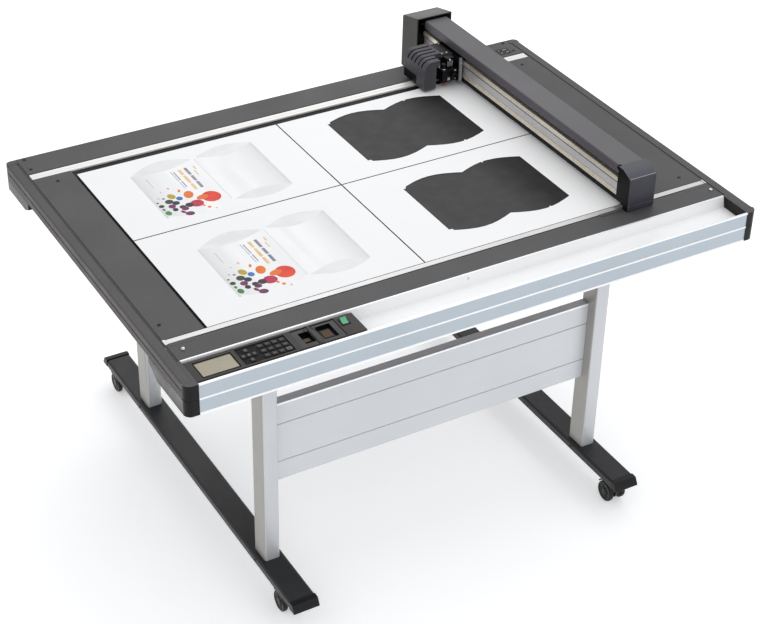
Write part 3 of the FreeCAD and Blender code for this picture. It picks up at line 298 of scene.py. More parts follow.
slot_end_m = surface("slot_end_plate", lin(150, 146, 156), rough=0.42, metal=0.2, grain=(1500.0, 0.08, 0.00002), wear=(lin(220, 218, 224), 0.5, 0.0006))
red_nose = surface("tool_red", lin(196, 24, 34), rough=0.25, coat=0.3, coat_rough=0.1, grain=(2000.0, 0.05, 0.00001), cloud=(80.0, 0.08), wear=(lin(240, 130, 130), 0.5, 0.0005))


def board_material():
    m = Mat("circuit_board")
    v = m.add("ShaderNodeTexVoronoi", feature="DISTANCE_TO_EDGE")
    v.inputs["Scale"].default_value = 160.0
    m.link(m.coord, v.inputs["Vector"])
    line = m.span(v.outputs["Distance"], 0.02, 0.05, 1.0, 0.0)
    col = m.mix(m.math("MULTIPLY", line, 0.7), lin(24, 92, 52), lin(70, 140, 84))
    m.link(col, m.p.inputs["Base Color"])
    m.link(m.span(m.noise(60.0), 0.3, 0.7, 0.3, 0.45), m.p.inputs["Roughness"])
    m.link(m.bump(line, 0.3, 0.00005), m.p.inputs["Normal"])
    return m.m


def mat_material():
    """The cutting mat: dark, with painted shade darkening it towards the right-hand end under the beam, painted shade
    lines under the gaps between the sheets, and old cut marks.
    """
    m = Mat("cutting_mat_rubber")
    x, y, z = m.xyz()
    # painted shade: towards the right-hand end, under the beam, the mat darkens from mid grey to near-black
    wave = m.math("MULTIPLY", m.noise(3.0, 2.0, 0.5), 0.05)
    painted_beam_shade = m.span(m.math("ADD", x, wave), 0.255, 0.345, 0.0, 1.0)
    col = m.mix(painted_beam_shade, lin(66, 65, 65), lin(26, 25, 25))
    soft = m.span(m.noise(4.0, 2.0, 0.5), 0.35, 0.65, 0.0, 0.14)
    col = m.mix(soft, col, lin(56, 55, 55))
    m.p.inputs["Specular IOR Level"].default_value = 0.2
    fine = m.noise(900.0, 3.0, 0.65)
    col = m.mix(m.span(fine, 0.4, 0.7, 0.0, 0.10), col, lin(104, 102, 100))
    cuts = m.noise(1.0, 2.0, 0.5, vec=m.scaled(6.0, 700.0, 700.0))
    marks = m.span(cuts, 0.70, 0.74, 0.0, 0.10)
    col = m.mix(marks, col, lin(132, 130, 128))
    # painted shade: near-black lines on the mat under the gaps between the sheets, where the gaps lie in shade
    painted_gap_shade_x = m.math("ABSOLUTE", m.math("SUBTRACT", x, (605.0 - 668.0) / 1000.0))
    painted_gap_shade_y = m.math("ABSOLUTE", m.math("SUBTRACT", y, (510.0 - 520.0) / 1000.0))
    painted_gap_shade = m.span(m.math("MINIMUM", painted_gap_shade_x, painted_gap_shade_y), 0.0016, 0.0022, 1.0, 0.0)
    col = m.mix(painted_gap_shade, col, lin(14, 14, 14))
    m.link(col, m.p.inputs["Base Color"])
    m.link(m.span(m.noise(30.0, 4.0), 0.3, 0.7, 0.52, 0.68), m.p.inputs["Roughness"])
    m.link(m.bump(fine, 0.35, 0.00005), m.p.inputs["Normal"])
    return m.m


def paper_material(name, color, shade, amount=0.5):
    """Coated sheet: near white, with a fibre-fine mottle and a very soft sheen."""
    m = Mat(name)
    fibre = m.noise(700.0, 5.0, 0.7, dist=0.6)
    broad = m.span(m.noise(2.2, 3.0, 0.5), 0.35, 0.65, 0.0, amount)
    col = m.mix(broad, color, shade)
    col = m.mix(m.span(fibre, 0.4, 0.7, 0.0, 0.06), col, lin(222, 222, 224))
    m.link(col, m.p.inputs["Base Color"])
    m.p.inputs["Specular IOR Level"].default_value = 0.35
    m.link(m.span(m.noise(24.0, 4.0), 0.3, 0.7, 0.42, 0.55), m.p.inputs["Roughness"])
    m.link(m.bump(fibre, 0.2, 0.00003), m.p.inputs["Normal"])
    return m.m


def ink(name, a, b, rough=0.4):
    """Printed colour with a soft tone change and a fine halftone grain."""
    m = Mat(name)
    soft = m.span(m.noise(26.0, 2.0, 0.5), 0.35, 0.65, 0.0, 1.0)
    col = m.mix(soft, a, b)
    dots = m.add("ShaderNodeTexVoronoi")
    dots.inputs["Scale"].default_value = 1600.0
    m.link(m.coord, dots.inputs["Vector"])
    col = m.mix(m.span(dots.outputs["Distance"], 0.2, 0.6, 0.0, 0.04), col, lin(250, 250, 250))
    m.p.inputs["Specular IOR Level"].default_value = 0.25
    m.link(col, m.p.inputs["Base Color"])
    m.link(m.span(m.noise(90.0), 0.3, 0.7, rough - 0.05, rough + 0.08), m.p.inputs["Roughness"])
    m.link(m.bump(dots.outputs["Distance"], 0.1, 0.00001), m.p.inputs["Normal"])
    return m.m


def pouch_print(name, cx, half, a, b, power):
    """Print of a pale translucent bag: white in the middle of each panel and grey towards the outer ends."""
    m = Mat(name)
    x, y, z = m.xyz()
    off = m.math("ABSOLUTE", m.math("SUBTRACT", x, (cx - 668.0) / 1000.0))
    far = m.span(off, half * 0.00045, half * 0.001, 0.0, 1.0)
    far = m.math("POWER", far, power)
    col = m.mix(far, a, b)
    folds = m.noise(1.0, 2.0, 0.5, vec=m.scaled(34.0, 3.0, 3.0))
    col = m.mix(m.span(folds, 0.45, 0.7, 0.0, 0.35), col, mul(b, 1.02))
    m.link(col, m.p.inputs["Base Color"])
    m.link(m.span(m.noise(24.0, 4.0), 0.3, 0.7, 0.36, 0.5), m.p.inputs["Roughness"])
    m.link(m.bump(m.noise(900.0), 0.15, 0.00002), m.p.inputs["Normal"])
    return m.m


def display_material():
    """Unlit liquid crystal display under a clear window: olive beige with a fine cell grid."""
    m = Mat("display_window")
    g = m.add("ShaderNodeTexBrick")
    g.inputs["Scale"].default_value = 1.0
    g.offset = 0.0
    g.inputs["Color1"].default_value = lin(158, 150, 124)
    g.inputs["Color2"].default_value = lin(154, 146, 120)
    g.inputs["Mortar"].default_value = lin(138, 130, 104)
    g.inputs["Mortar Size"].default_value = 0.06
    g.inputs["Brick Width"].default_value = 0.6
    g.inputs["Row Height"].default_value = 0.9
    m.link(m.scaled(1000.0, 1000.0, 1000.0), g.inputs["Vector"])
    glow = m.span(m.noise(22.0, 2.0), 0.3, 0.7, 0.0, 0.5)
    col = m.mix(glow, g.outputs["Color"], lin(168, 160, 136))
    m.link(col, m.p.inputs["Base Color"])
    m.p.inputs["Coat Weight"].default_value = 0.25
    m.p.inputs["Coat Roughness"].default_value = 0.08
    m.link(m.span(m.noise(90.0), 0.3, 0.7, 0.22, 0.32), m.p.inputs["Roughness"])
    m.link(m.bump(m.noise(40.0), 0.05, 0.00002), m.p.inputs["Normal"])
    return m.m


board_m = board_material()
mat_m = mat_material()
paper = paper_material("coated_paper", lin(250, 250, 250), lin(243, 244, 246))
display_m = display_material()
# painted shade: the sheets' edges are near-black, standing in for the shade in the gaps between the sheets
paper_edge_painted_shade = paper_material("paper_edge_painted_shade", lin(30, 30, 30), lin(22, 22, 22))


# -------------------------------------------------------------------- builders
def finish_object(me, name, node, body, replaced, bevel, segs, angle=30.0):
    me.update()
    ob = bpy.data.objects.new(name, me)
    bpy.context.scene.collection.objects.link(ob)
    for p in me.polygons:
        p.use_smooth = True
    me.set_sharp_from_angle(angle=math.radians(angle))
    if bevel:
        b = ob.modifiers.new("soft_edges", "BEVEL")
        b.limit_method = "ANGLE"
        b.angle_limit = math.radians(angle)
        b.width = bevel / 1000.0
        b.segments = segs
        b.harden_normals = True
        b.use_clamp_overlap = True
        b.miter_outer = "MITER_ARC"
    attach(ob, body or BODY_OF[node])
    if replaced:
        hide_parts(*replaced)
    return ob


def skin(node, mats, pick=None, bevel=0.5, segs=2, angle=30.0, name=None, grooves=(), cuts=(), merge=True):
    """A cleaned copy of a CAD node's mesh with soft edges; pick(normal, centre in mm) gives each face's material."""
    me = NODES[node].data.copy()
    bm = bmesh.new()
    bm.from_mesh(me)
    bmesh.ops.remove_doubles(bm, verts=bm.verts, dist=2e-6)
    bmesh.ops.dissolve_degenerate(bm, dist=1e-6, edges=bm.edges)
    if merge:
        bmesh.ops.dissolve_limit(bm, angle_limit=math.radians(0.5), verts=bm.verts, edges=bm.edges, use_dissolve_boundaries=False)
    bmesh.ops.recalc_face_normals(bm, faces=bm.faces)
    for axis, at in cuts:
        co = W(*[at if axis == k else 0.0 for k in "xyz"])
        bmesh.ops.bisect_plane(bm, geom=bm.verts[:] + bm.edges[:] + bm.faces[:], plane_co=co, plane_no=Vector([float(axis == k) for k in "xyz"]))
    for z, half, depth in grooves:
        for level in (z + half, z + half - 0.4, z - half + 0.4, z - half):
            bmesh.ops.bisect_plane(bm, geom=bm.verts[:] + bm.edges[:] + bm.faces[:], plane_co=W(0, 0, level), plane_no=Vector((0.0, 0.0, 1.0)))
        bm.normal_update()
        moves = []
        for v in bm.verts:
            if abs(v.co.z * 1000.0 - z) < half - 0.2:
                flat = Vector((v.normal.x, v.normal.y, 0.0))
                if flat.length > 0.5:
                    moves.append((v, flat.normalized() * (depth / 1000.0)))
        for v, d in moves:
            v.co -= d
        bm.normal_update()
    for f in bm.faces:
        if pick:
            f.material_index = mats.index(pick(f.normal, mm(f.calc_center_median())))
        else:
            f.material_index = 0
    new = bpy.data.meshes.new((name or node + "_part") + "_mesh")
    bm.to_mesh(new)
    bm.free()
    for a in list(new.attributes):
        if a.name in ("custom_normal", "sharp_edge", "sharp_face"):
            new.attributes.remove(a)
    for m in mats:
        new.materials.append(m)
    bpy.data.meshes.remove(me)
    return finish_object(new, name or node + "_part", node, None, [node], bevel, segs, angle)


class Shape:
    """A mesh put together from closed parts, in millimetres of the design frame."""

    def __init__(self, name):
        self.name = name
        self.bm = bmesh.new()
        self.mats = []

    def idx(self, mat):
        if mat not in self.mats:
            self.mats.append(mat)
        return self.mats.index(mat)

    @staticmethod
    def at(axis, u, v, w):
        return W(*((w, u, v) if axis == "x" else (u, w, v) if axis == "y" else (u, v, w)))

    def faces(self, verts, loops, mat):
        out = []
        i = self.idx(mat)
        for lp in loops:
            try:
                f = self.bm.faces.new([verts[k] for k in lp])
            except ValueError:
                continue
            f.material_index = i
            out.append(f)
        return out

    def prism(self, pts, axis, a, b, mat, cap=None):
        n = len(pts)
        v = [self.bm.verts.new(self.at(axis, p[0], p[1], a)) for p in pts] + [self.bm.verts.new(self.at(axis, p[0], p[1], b)) for p in pts]
        fs = self.faces(v, [[i, (i + 1) % n, n + (i + 1) % n, n + i] for i in range(n)], mat)
        fs += self.faces(v, [list(range(n))[::-1], list(range(n, 2 * n))], cap or mat)
        bmesh.ops.recalc_face_normals(self.bm, faces=fs)
        return self

    def box(self, x0, y0, z0, x1, y1, z1, mat, r=0.0, n=4):
        """A block; r rounds its four upright corners."""
        return self.prism(round_rect(x0, y0, x1, y1, r, n), "z", z0, z1, mat)

    def lathe(self, axis, c, prof, mat, n=40, mats=None):
        """Turns (radius, height) points round an axis through c."""
        rings = []
        for r, h in prof:
            ring = []
            if r < 1e-6:
                ring = [self.bm.verts.new(self.turn(axis, c, 0.0, 0.0, h))] * n
            else:
                for k in range(n):
                    t = 2 * math.pi * k / n
                    ring.append(self.bm.verts.new(self.turn(axis, c, r * math.cos(t), r * math.sin(t), h)))
            rings.append(ring)
        fs = []
        for q in range(len(rings) - 1):
            i = self.idx(mats[q] if mats else mat)
            for k in range(n):
                quad = [rings[q][k], rings[q][(k + 1) % n], rings[q + 1][(k + 1) % n], rings[q + 1][k]]
                uniq = [v for j, v in enumerate(quad) if v not in quad[:j]]
                if len(uniq) < 3:
                    continue
                f = self.bm.faces.new(uniq)
                f.material_index = i
                fs.append(f)
        for q, rev in ((0, True), (-1, False)):
            if prof[q][0] > 1e-6:
                i = self.idx(mats[q] if mats else mat)
                f = self.bm.faces.new(rings[q][::-1] if rev else rings[q])
                f.material_index = i
                fs.append(f)
        bmesh.ops.recalc_face_normals(self.bm, faces=fs)
        return self

    @staticmethod
    def turn(axis, c, p, q, h):
        if axis == "x":
            return W(c[0] + h, c[1] + p, c[2] + q)
        if axis == "y":
            return W(c[0] + p, c[1] + h, c[2] + q)
        return W(c[0] + p, c[1] + q, c[2] + h)

    def cyl(self, axis, c, r, length, mat, n=32, chamfer=0.0):
        k = chamfer
        prof = [(r, 0), (r, length)] if not k else [(r - k, 0), (r, k), (r, length - k), (r - k, length)]
        return self.lathe(axis, c, prof, mat, n)

    def tube(self, path, r, mat, n=10, closed=False):
        """A round wire along points given in millimetres."""
        pts = [W(*p) for p in path]
        rings = []
        up = Vector((0.0, 0.0, 1.0))
        for i, p in enumerate(pts):
            a = pts[max(i - 1, 0)]
            b = pts[min(i + 1, len(pts) - 1)]
            d = (b - a).normalized()
            s = d.cross(up)
            if s.length < 1e-3:
                s = d.cross(Vector((0.0, 1.0, 0.0)))
            s.normalize()
            t = s.cross(d).normalized()
            up = t
            rings.append([self.bm.verts.new(p + (s * math.cos(2 * math.pi * k / n) + t * math.sin(2 * math.pi * k / n)) * r / 1000.0) for k in range(n)])
        i = self.idx(mat)
        fs = []
        for q in range(len(rings) - 1):
            for k in range(n):
                f = self.bm.faces.new([rings[q][k], rings[q][(k + 1) % n], rings[q + 1][(k + 1) % n], rings[q + 1][k]])
                f.material_index = i
                fs.append(f)
        for ring in (rings[0][::-1], rings[-1]):
            f = self.bm.faces.new(ring)
            f.material_index = i
            fs.append(f)
        bmesh.ops.recalc_face_normals(self.bm, faces=fs)
        return self

    def done(self, body, replaced=(), bevel=0.0, segs=2, angle=30.0):
        me = bpy.data.meshes.new(self.name + "_mesh")
        self.bm.to_mesh(me)
        self.bm.free()
        for m in self.mats:
            me.materials.append(m)
        return finish_object(me, self.name, None, body, list(replaced), bevel, segs, angle)


def round_rect(x0, y0, x1, y1, r=0.0, n=4):
    if r <= 0:
        return [(x0, y0), (x1, y0), (x1, y1), (x0, y1)]
    out = []
    for cx, cy, a0 in ((x1 - r, y0 + r, -90), (x1 - r, y1 - r, 0), (x0 + r, y1 - r, 90), (x0 + r, y0 + r, 180)):
        for k in range(n + 1):
            a = math.radians(a0 + 90.0 * k / n)
            out.append((cx + r * math.cos(a), cy + r * math.sin(a)))
    return out


def ellipse(cx, cy, rx, ry, rot=0.0, n=36):
    c, s = math.cos(math.radians(rot)), math.sin(math.radians(rot))
    out = []
    for k in range(n):
        a = 2 * math.pi * k / n
        u, v = rx * math.cos(a), ry * math.sin(a)
        out.append((cx + u * c - v * s, cy + u * s + v * c))
    return out


# ------------------------------------------------------------------ table frame
def pick_front(n, c):
    x, y, z = c
    if y > 4.5 and y < 82 and z > T - 26.5 and (n.z > 0.2 or abs(n.y) > 0.2) and z < T - 0.05:
        return tray_silver
    # lips and faces at the very front take the painted highlight
    if n.z > 0.8 and z > T - 0.5:
        return lip_painted_highlight
    if n.y < -0.9 and y < 0.5:
        return lip_painted_highlight
    if y < 1.3 and abs(n.z) > 0.5 and z > T - 69:
        return lip_painted_highlight
    return satin_alu


skin("front_rail", [satin_alu, tray_silver, lip_painted_highlight], pick_front, bevel=0.25, segs=2)


def pick_side(n, c):
    if n.z > 0.6:
        return grey_top
    # painted shade: the groove along the side rail is near-black
    if T - 19.5 < c[2] < T - 16.4 or (abs(n.x) < 0.5 and T - 20.5 < c[2] < T - 15.5):
        return recess_black_and_shade
    return grey_wall


for s in ("left", "right"):
    skin("side_rail_" + s, [grey_top, grey_wall, recess_black_and_shade], pick_side, bevel=0.4)
    for e in ("front", "back"):
        skin("corner_cap_%s_%s" % (e, s), [grey_top, black_gloss], lambda n, c: grey_top if n.z > 0.7 and c[2] > T - 2 else black_gloss, bevel=0.55, segs=3,
             grooves=[(T - 34.0, 1.3, 0.9)] if e == "front" else [])
    skin("side_cover_" + s, [grey_top], bevel=0.5)
# painted shade: the back rail's groove is near-black
skin("back_rail", [grey_wall, recess_black_and_shade], lambda n, c: recess_black_and_shade if T - 16.5 < c[2] < T - 8.5 and abs(n.z) > 0.5 else grey_wall, bevel=0.5)
skin("front_strip", [grey_top], bevel=0.5)
skin("back_cover", [grey_top], bevel=0.5)
# painted shade: the inside of the guide rail's slot is near-black
skin("front_guide_rail", [rail_alu, recess_black_and_shade], lambda n, c: recess_black_and_shade if c[1] < 146 and n.y < 0.9 and c[2] < T - 0.5 else rail_alu, bevel=0.25)
skin("back_guide_rail", [rail_white], bevel=0.25)
skin("bed_plate", [bed_m], bevel=0.4)
skin("cutting_mat", [mat_m], bevel=0.4)
# the sheets' side faces take the painted shade
skin("media_sheets", [paper, paper_edge_painted_shade], lambda n, c: paper if n.z > 0.5 else paper_edge_painted_shade, bevel=0.0)
# trims laid in the joints between the side rails and the covers
sh = Shape("side_joint_trims")
sh.box(22.2, 88.0, T - 1.9, 25.2, 921.0, T - 0.9, grey_wall)
sh.box(1310.2, 88.0, T - 1.9, 1314.2, 921.0, T - 0.9, grey_wall)
sh.done("root", bevel=0.2)

# Slot ends, the small tab at the left end of the front guide rail, and a port plate at the rear right.
sh = Shape("front_slot_ends")
for x0, x1 in ((31.0, 87.0), (1245.0, 1305.0)):
    sh.box(x0, 133.0, T - 0.3, x1, 143.8, T + 0.35, grey_top, r=1.2)
sh.box(24.5, 141.5, T - 0.2, 30.5, 158.0, T + 1.1, rail_alu, r=1.0)
sh.box(1306.5, 142.5, T - 0.2, 1311.0, 158.0, T + 1.1, rail_alu, r=1.0)
sh.done("root", bevel=0.15)

sh = Shape("rear_port_plate")
sh.box(1252, 876, T - 0.3, 1288, 906, T + 0.5, panel_m, r=2.5)
for px, py, pw, ph in ((1256, 880, 11, 8), (1271, 880, 13, 8), (1256, 893, 8, 9), (1268, 893, 16, 9)):
    sh.box(px, py, T + 0.3, px + pw, py + ph, T + 0.8, recess_black_and_shade, r=1.2)
    sh.box(px + 2, py + 2.4, T + 0.6, px + pw - 2, py + ph - 2.4, T + 1.1, grey_bracket, r=0.8)
sh.done("root", bevel=0.15)

# Fasteners
sh = Shape("cover_fasteners_part")
for x, y in ((42, 209), (73, 811), (1273, 191), (1272, 811), (42, 931), (40, 885), (1294, 931), (1296, 885)):
    sh.lathe("z", (x, y, T), [(0, 0.6), (1.3, 0.6), (1.5, 0.75), (1.5, 1.35), (1.75, 1.6), (2.9, 1.5), (3.7, 1.05), (4.0, 0.4), (4.0, 0.0), (1.9, 0.0), (1.9, -2.6), (0, -2.6)],
             screw_black, n=36)
    for k in range(2):
        a = math.pi / 2 * k + 0.4
        c, s = math.cos(a), math.sin(a)
        pts = [(x + u * c - v * s, y + u * s + v * c) for u, v in ((-1.45, -0.28), (1.45, -0.28), (1.45, 0.28), (-1.45, 0.28))]
        sh.prism(pts, "z", T + 0.5, T + 0.72, recess_black_and_shade)
for x, y in ((49, 115), (1301, 115)):
    sh.lathe("z", (x, y, T), [(0, 4.0), (1.6, 3.95), (3.0, 3.5), (4.1, 2.6), (4.5, 1.6), (4.3, 0.9), (3.4, 0.5), (3.4, 0.0), (1.9, 0.0), (1.9, -2.6), (0, -2.6)], steel, n=40)
sh.done("root", ["cover_fasteners"])

sh = Shape("tray_screw")
sh.lathe("y", (659.0, 82.0, T - 9.0), [(0, -5.0), (1.2, -4.9), (2.1, -4.4), (2.4, -3.6), (2.4, -1.0), (0, -1.0)], steel, n=28)
sh.done("root")

# ------------------------------------------------------------------- the prints
pouch_a = pouch_print("print_pouch_front", 368.0, 150.0, lin(249, 249, 249), lin(224, 224, 225), 1.4)
pouch_lens = ink("print_gusset", lin(230, 230, 231), lin(238, 238, 238))
pouch_line = ink("print_outline", lin(216, 216, 218), lin(224, 224, 224))
INKS = {
    "flame": ink("ink_flame", lin(236, 70, 16), lin(222, 34, 18)),
    "amber": ink("ink_amber", lin(238, 124, 20), lin(226, 108, 14)),
    "crimson": ink("ink_crimson", lin(196, 20, 80), lin(176, 12, 46)),
    "plum": ink("ink_plum", lin(120, 16, 98), lin(84, 10, 70)),
    "navy": ink("ink_navy", lin(24, 20, 54), lin(12, 14, 36)),
    "sky": ink("ink_sky", lin(40, 122, 190), lin(26, 96, 168)),
    "olive": ink("ink_olive", lin(196, 166, 30), lin(168, 138, 24)),
    "leaf": ink("ink_leaf", lin(70, 146, 66), lin(34, 98, 38)),
    "pine": ink("ink_pine", lin(36, 60, 34), lin(22, 42, 24)),
    "wine": ink("ink_wine", lin(56, 4, 20), lin(38, 2, 10)),
    "sand": ink("ink_sand", lin(240, 206, 156), lin(232, 190, 132)),
    "slate": ink("ink_slate", lin(150, 152, 162), lin(120, 122, 134)),
    "mist": ink("ink_mist", lin(206, 212, 220), lin(196, 202, 210)),
    "rose": ink("ink_rose", lin(238, 176, 176), lin(240, 196, 180)),
}
# An abstract cluster of round and oval dots: (centre x, centre y, half sizes, turn, ink)
DOTS = [
    (340, 262, 21, 22, 0, "flame"), (322, 268, 14, 9, 12, "amber"), (301, 250, 15, 14, 0, "crimson"), (284, 251, 9, 9, 0, "wine"),
    (300, 291, 10.5, 15, -20, "amber"), (276, 285, 7, 8, 0, "sky"), (264, 300, 8, 11, 15, "olive"), (251, 282, 9, 9, 0, "pine"),
    (262, 271, 8, 8, 0, "navy"), (249, 262, 8, 8, 0, "plum"), (250, 247, 6, 7, 0, "navy"), (268, 250, 7, 7, 0, "wine"), (270, 241, 8, 7, 0, "plum"),
    (271, 219, 10, 8, -18, "plum"), (261, 231, 4, 7, 24, "plum"), (231, 240, 6.5, 9, 0, "leaf"), (229, 272, 6, 6, 0, "pine"), (228, 257, 3, 5, 0, "leaf"),
    (288, 314, 3, 6, -24, "amber"), (271, 334, 2.6, 5, 0, "rose"), (245, 299, 3.5, 3, 0, "slate"), (227, 288, 2.6, 2.6, 0, "wine"), (318, 224, 4, 4, 0, "amber"),
    (310, 236, 3, 5, 30, "amber"), (330, 214, 2.2, 3, 0, "rose"), (236, 304, 3, 4, 0, "mist"), (251, 326, 2.2, 3, 0, "mist"),
]


def lobe_outline(dx, dy):
    """The bag's outline: two panels, each with bowed long edges."""
    out = []
    n = 14
    for i in range(n + 1):
        u = i / n
        out.append((219 + 155 * u, 415 + 12 * u + 31 * math.sin(math.pi * u)))
    for i in range(1, n + 1):
        u = i / n
        out.append((374 + 146 * u, 427 + 9 * u + 22 * math.sin(math.pi * u)))
    for i in range(n + 1):
        u = i / n
        out.append((518 - 144 * u, 228 + 2 * u - 22 * math.sin(math.pi * u)))
    for i in range(1, n + 1):
        u = i / n
        out.append((374 - 148 * u, 230 - 2 * u - 22 * math.sin(math.pi * u)))
    return [(x + dx, y + dy) for x, y in out]


def lens(x0, y0, x1, y1, up, down, n=14):
    a = [(x0 + (x1 - x0) * i / n, y0 + (y1 - y0) * i / n + up * math.sin(math.pi * i / n)) for i in range(n + 1)]
    b = [(x1 + (x0 - x1) * i / n, y1 + (y0 - y1) * i / n - down * math.sin(math.pi * i / n)) for i in range(1, n)]
    return a + b


for tag, dx, dy in (("front", 0.0, 0.0), ("rear", -3.0, 336.0)):
    def sft(pts):
        return [(x + dx, y + dy) for x, y in pts]
    sh = Shape("media_print_" + tag)
    sh.prism(lobe_outline(dx, dy), "z", T - 0.10, T + 0.05, pouch_a)
    sh.prism(sft(lens(380, 430, 519, 436, 20, 24)), "z", T + 0.02, T + 0.07, pouch_lens)
    sh.prism(sft(lens(380, 229, 517, 229, 18, 20)), "z", T + 0.02, T + 0.07, pouch_lens)
    sh.prism(sft(lens(222, 416, 370, 427, 29, 14)), "z", T + 0.02, T + 0.07, pouch_lens)
    sh.prism(sft(round_rect(219, 222, 225, 416, 2)), "z", T + 0.03, T + 0.08, pouch_line)
    sh.prism(sft(round_rect(512, 232, 518, 434, 2)), "z", T + 0.03, T + 0.08, pouch_line)
    sh.prism(sft(round_rect(373.6, 232, 375.4, 426, 0.5)), "z", T + 0.03, T + 0.08, pouch_line)
    # plain bars where a layout would carry its copy
    for x0, x1, rows, col in ((303.5, 306.5, [(318, 346), (350, 396)], "mist"), (309.5, 312.0, [(322, 350), (354, 392)], "slate"),
                              (321.5, 328.5, [(304, 330), (334, 368), (372, 396)], "sand"), (336.5, 343.5, [(306, 334), (338, 362), (366, 398)], "slate"),
                              (353.5, 356.5, [(358, 380)], "sand"), (358.5, 362.0, [(384, 398)], "sand"), (244.0, 246.5, [(348, 392)], "mist")):
        for ya, yb in rows:
            sh.prism(sft(round_rect(x0, ya, x1, yb, 0.8)), "z", T + 0.02, T + 0.08, INKS[col])
    for i, (x, y, rx, ry, rot, col) in enumerate(DOTS):
        sh.prism(sft(ellipse(x, y, rx, ry, rot)), "z", T + 0.02, T + 0.09 + 0.002 * i, INKS[col])
    sh.done("root")

# --------------------------------------------------------------- control panel
# painted shade: the floors of the panel's recesses are near-black
skin("control_panel", [panel_m, recess_black_and_shade], lambda n, c: recess_black_and_shade if c[2] < T - 5.5 and n.z > 0.5 and c[2] > T - 16 else panel_m, bevel=0.5)
skin("display_window", [display_m], bevel=0.5)
sh = Shape("display_bezel")
for x0, y0, x1, y1 in ((43.4, 15.4, 122.6, 17.4), (43.4, 63.6, 122.6, 65.6), (43.4, 15.4, 45.4, 65.6), (120.6, 15.4, 122.6, 65.6)):
    sh.box(x0, y0, T - 1.6, x1, y1, T - 0.35, recess_black_and_shade, r=0.6)
sh.done("root", bevel=0.2)

sh = Shape("keypad_keys_part")
sh.box(131.6, 14.6, T - 3.9, 235.4, 68.4, T - 2.7, key_web, r=1.5)


def key(x0, y0, x1, y1, r, mat=key_m, top=T - 0.2):
    """A key with a softly domed top."""
    steps = [(0.0, T - 2.8), (0.0, top - 0.9), (0.35, top - 0.35), (0.9, top - 0.08), (1.6, top)]
    loops = []
    for inset, z in steps:
        loops.append([sh.bm.verts.new(W(px, py, z)) for px, py in round_rect(x0 + inset, y0 + inset, x1 - inset, y1 - inset, max(r - inset, 0.3), 5)])
    i = sh.idx(mat)
    n = len(loops[0])
    fs = []
    for q in range(len(loops) - 1):
        for k in range(n):
            f = sh.bm.faces.new([loops[q][k], loops[q][(k + 1) % n], loops[q + 1][(k + 1) % n], loops[q + 1][k]])
            f.material_index = i
            fs.append(f)
    for lp in (loops[0][::-1], loops[-1]):
        f = sh.bm.faces.new(lp)
        f.material_index = i
        fs.append(f)
    bmesh.ops.recalc_face_normals(sh.bm, faces=fs)


for kx, ky, dx, dy in ((150, 57, 0, 1), (150, 25, 0, -1), (138.5, 41, -1, 0), (161.5, 41, 1, 0), (150, 41, 0, 0)):
    key(kx - 4.8, ky - 5.5, kx + 4.8, ky + 5.5, 2.6)
    if dx or dy:
        s = 1.9
        tri = [(kx + dx * s - dy * s * 0.9, ky + dy * s + dx * s * 0.9), (kx - dx * s * 0.6 - dy * 0, ky - dy * s * 0.6), (kx + dx * s + dy * s * 0.9, ky + dy * s - dx * s * 0.9)]
        tip = (kx + dx * 2.4, ky + dy * 2.4)
        back = [(kx - dx * 1.4 - dy * 2.0, ky - dy * 1.4 - dx * 2.0), (kx - dx * 1.4 + dy * 2.0, ky - dy * 1.4 + dx * 2.0)]
        sh.prism([tip] + back, "z", T - 0.3, T - 0.13, legend_m)
    else:
        sh.prism(ellipse(kx, ky, 1.7, 1.7, 0, 20), "z", T - 0.3, T - 0.13, legend_m)
for i in range(4):
    for j in range(3):
        x0, y0 = 175 + 15.2 * i, 19.5 + 16.5 * j
        key(x0, y0, x0 + 12, y0 + 10, 2.0)
        if i == 3 and j == 0:
            for a, b, c, d in ((x0 + 0.9, y0 + 0.9, x0 + 11.1, y0 + 1.6), (x0 + 0.9, y0 + 8.4, x0 + 11.1, y0 + 9.1), (x0 + 0.9, y0 + 0.9, x0 + 1.6, y0 + 9.1), (x0 + 10.4, y0 + 0.9, x0 + 11.1, y0 + 9.1)):
                sh.box(a, b, T - 0.9, c, d, T - 0.10, legend_blue, r=0.3)
            sh.box(x0 + 3.4, y0 + 4.4, T - 0.3, x0 + 8.6, y0 + 5.6, T - 0.13, legend_m, r=0.4)
        else:
            sh.box(x0 + 3.0, y0 + 4.5, T - 0.3, x0 + 3.0 + (3.5, 5.5, 4.5)[(i + j) % 3], y0 + 5.5, T - 0.13, legend_m, r=0.4)
        # small mark above each key, on the web
        sh.box(x0 + 2.0, y0 + 11.3, T - 2.9, x0 + 9.5, y0 + 12.3, T - 2.55, legend_m, r=0.3)
sh.done("keypad", ["keypad_keys"])

skin("port_block", [port_m, port_rib], lambda n, c: port_rib if c[2] > T - 2.3 else port_m, bevel=0.3, merge=False)
sh = Shape("port_contacts")
sh.box(266, 36, T - 11.4, 280, 48, T - 9.2, inlet_m, r=0.8)
for k in range(4):
    sh.box(267.6 + 3.2 * k, 37, T - 9.3, 269.2 + 3.2 * k, 46, T - 8.9, gold, r=0.2)
sh.box(306, 28, T - 9.4, 326, 56, T - 7.8, inlet_m, r=1.0)
for k in range(6):
    sh.box(308.2 + 2.9 * k, 31, T - 7.9, 309.6 + 2.9 * k, 53, T - 7.5, gold, r=0.2)
sh.done("root", bevel=0.15)
# curved hinge line of the glossy flap, beside the rib
sh = Shape("port_flap_lines")
arc = [(294 + 6 * math.sin(math.pi * k / 16), 14 + 3.4 * k, T - 2.3) for k in range(17)]
sh.tube(arc, 0.7, port_rib, 8)
arc = [(276 + 5 * math.sin(math.pi * k / 16), 62 + 0.35 * k, T - 2.3) for k in range(17)]
sh.tube(arc, 0.6, port_rib, 8)
sh.done("root")

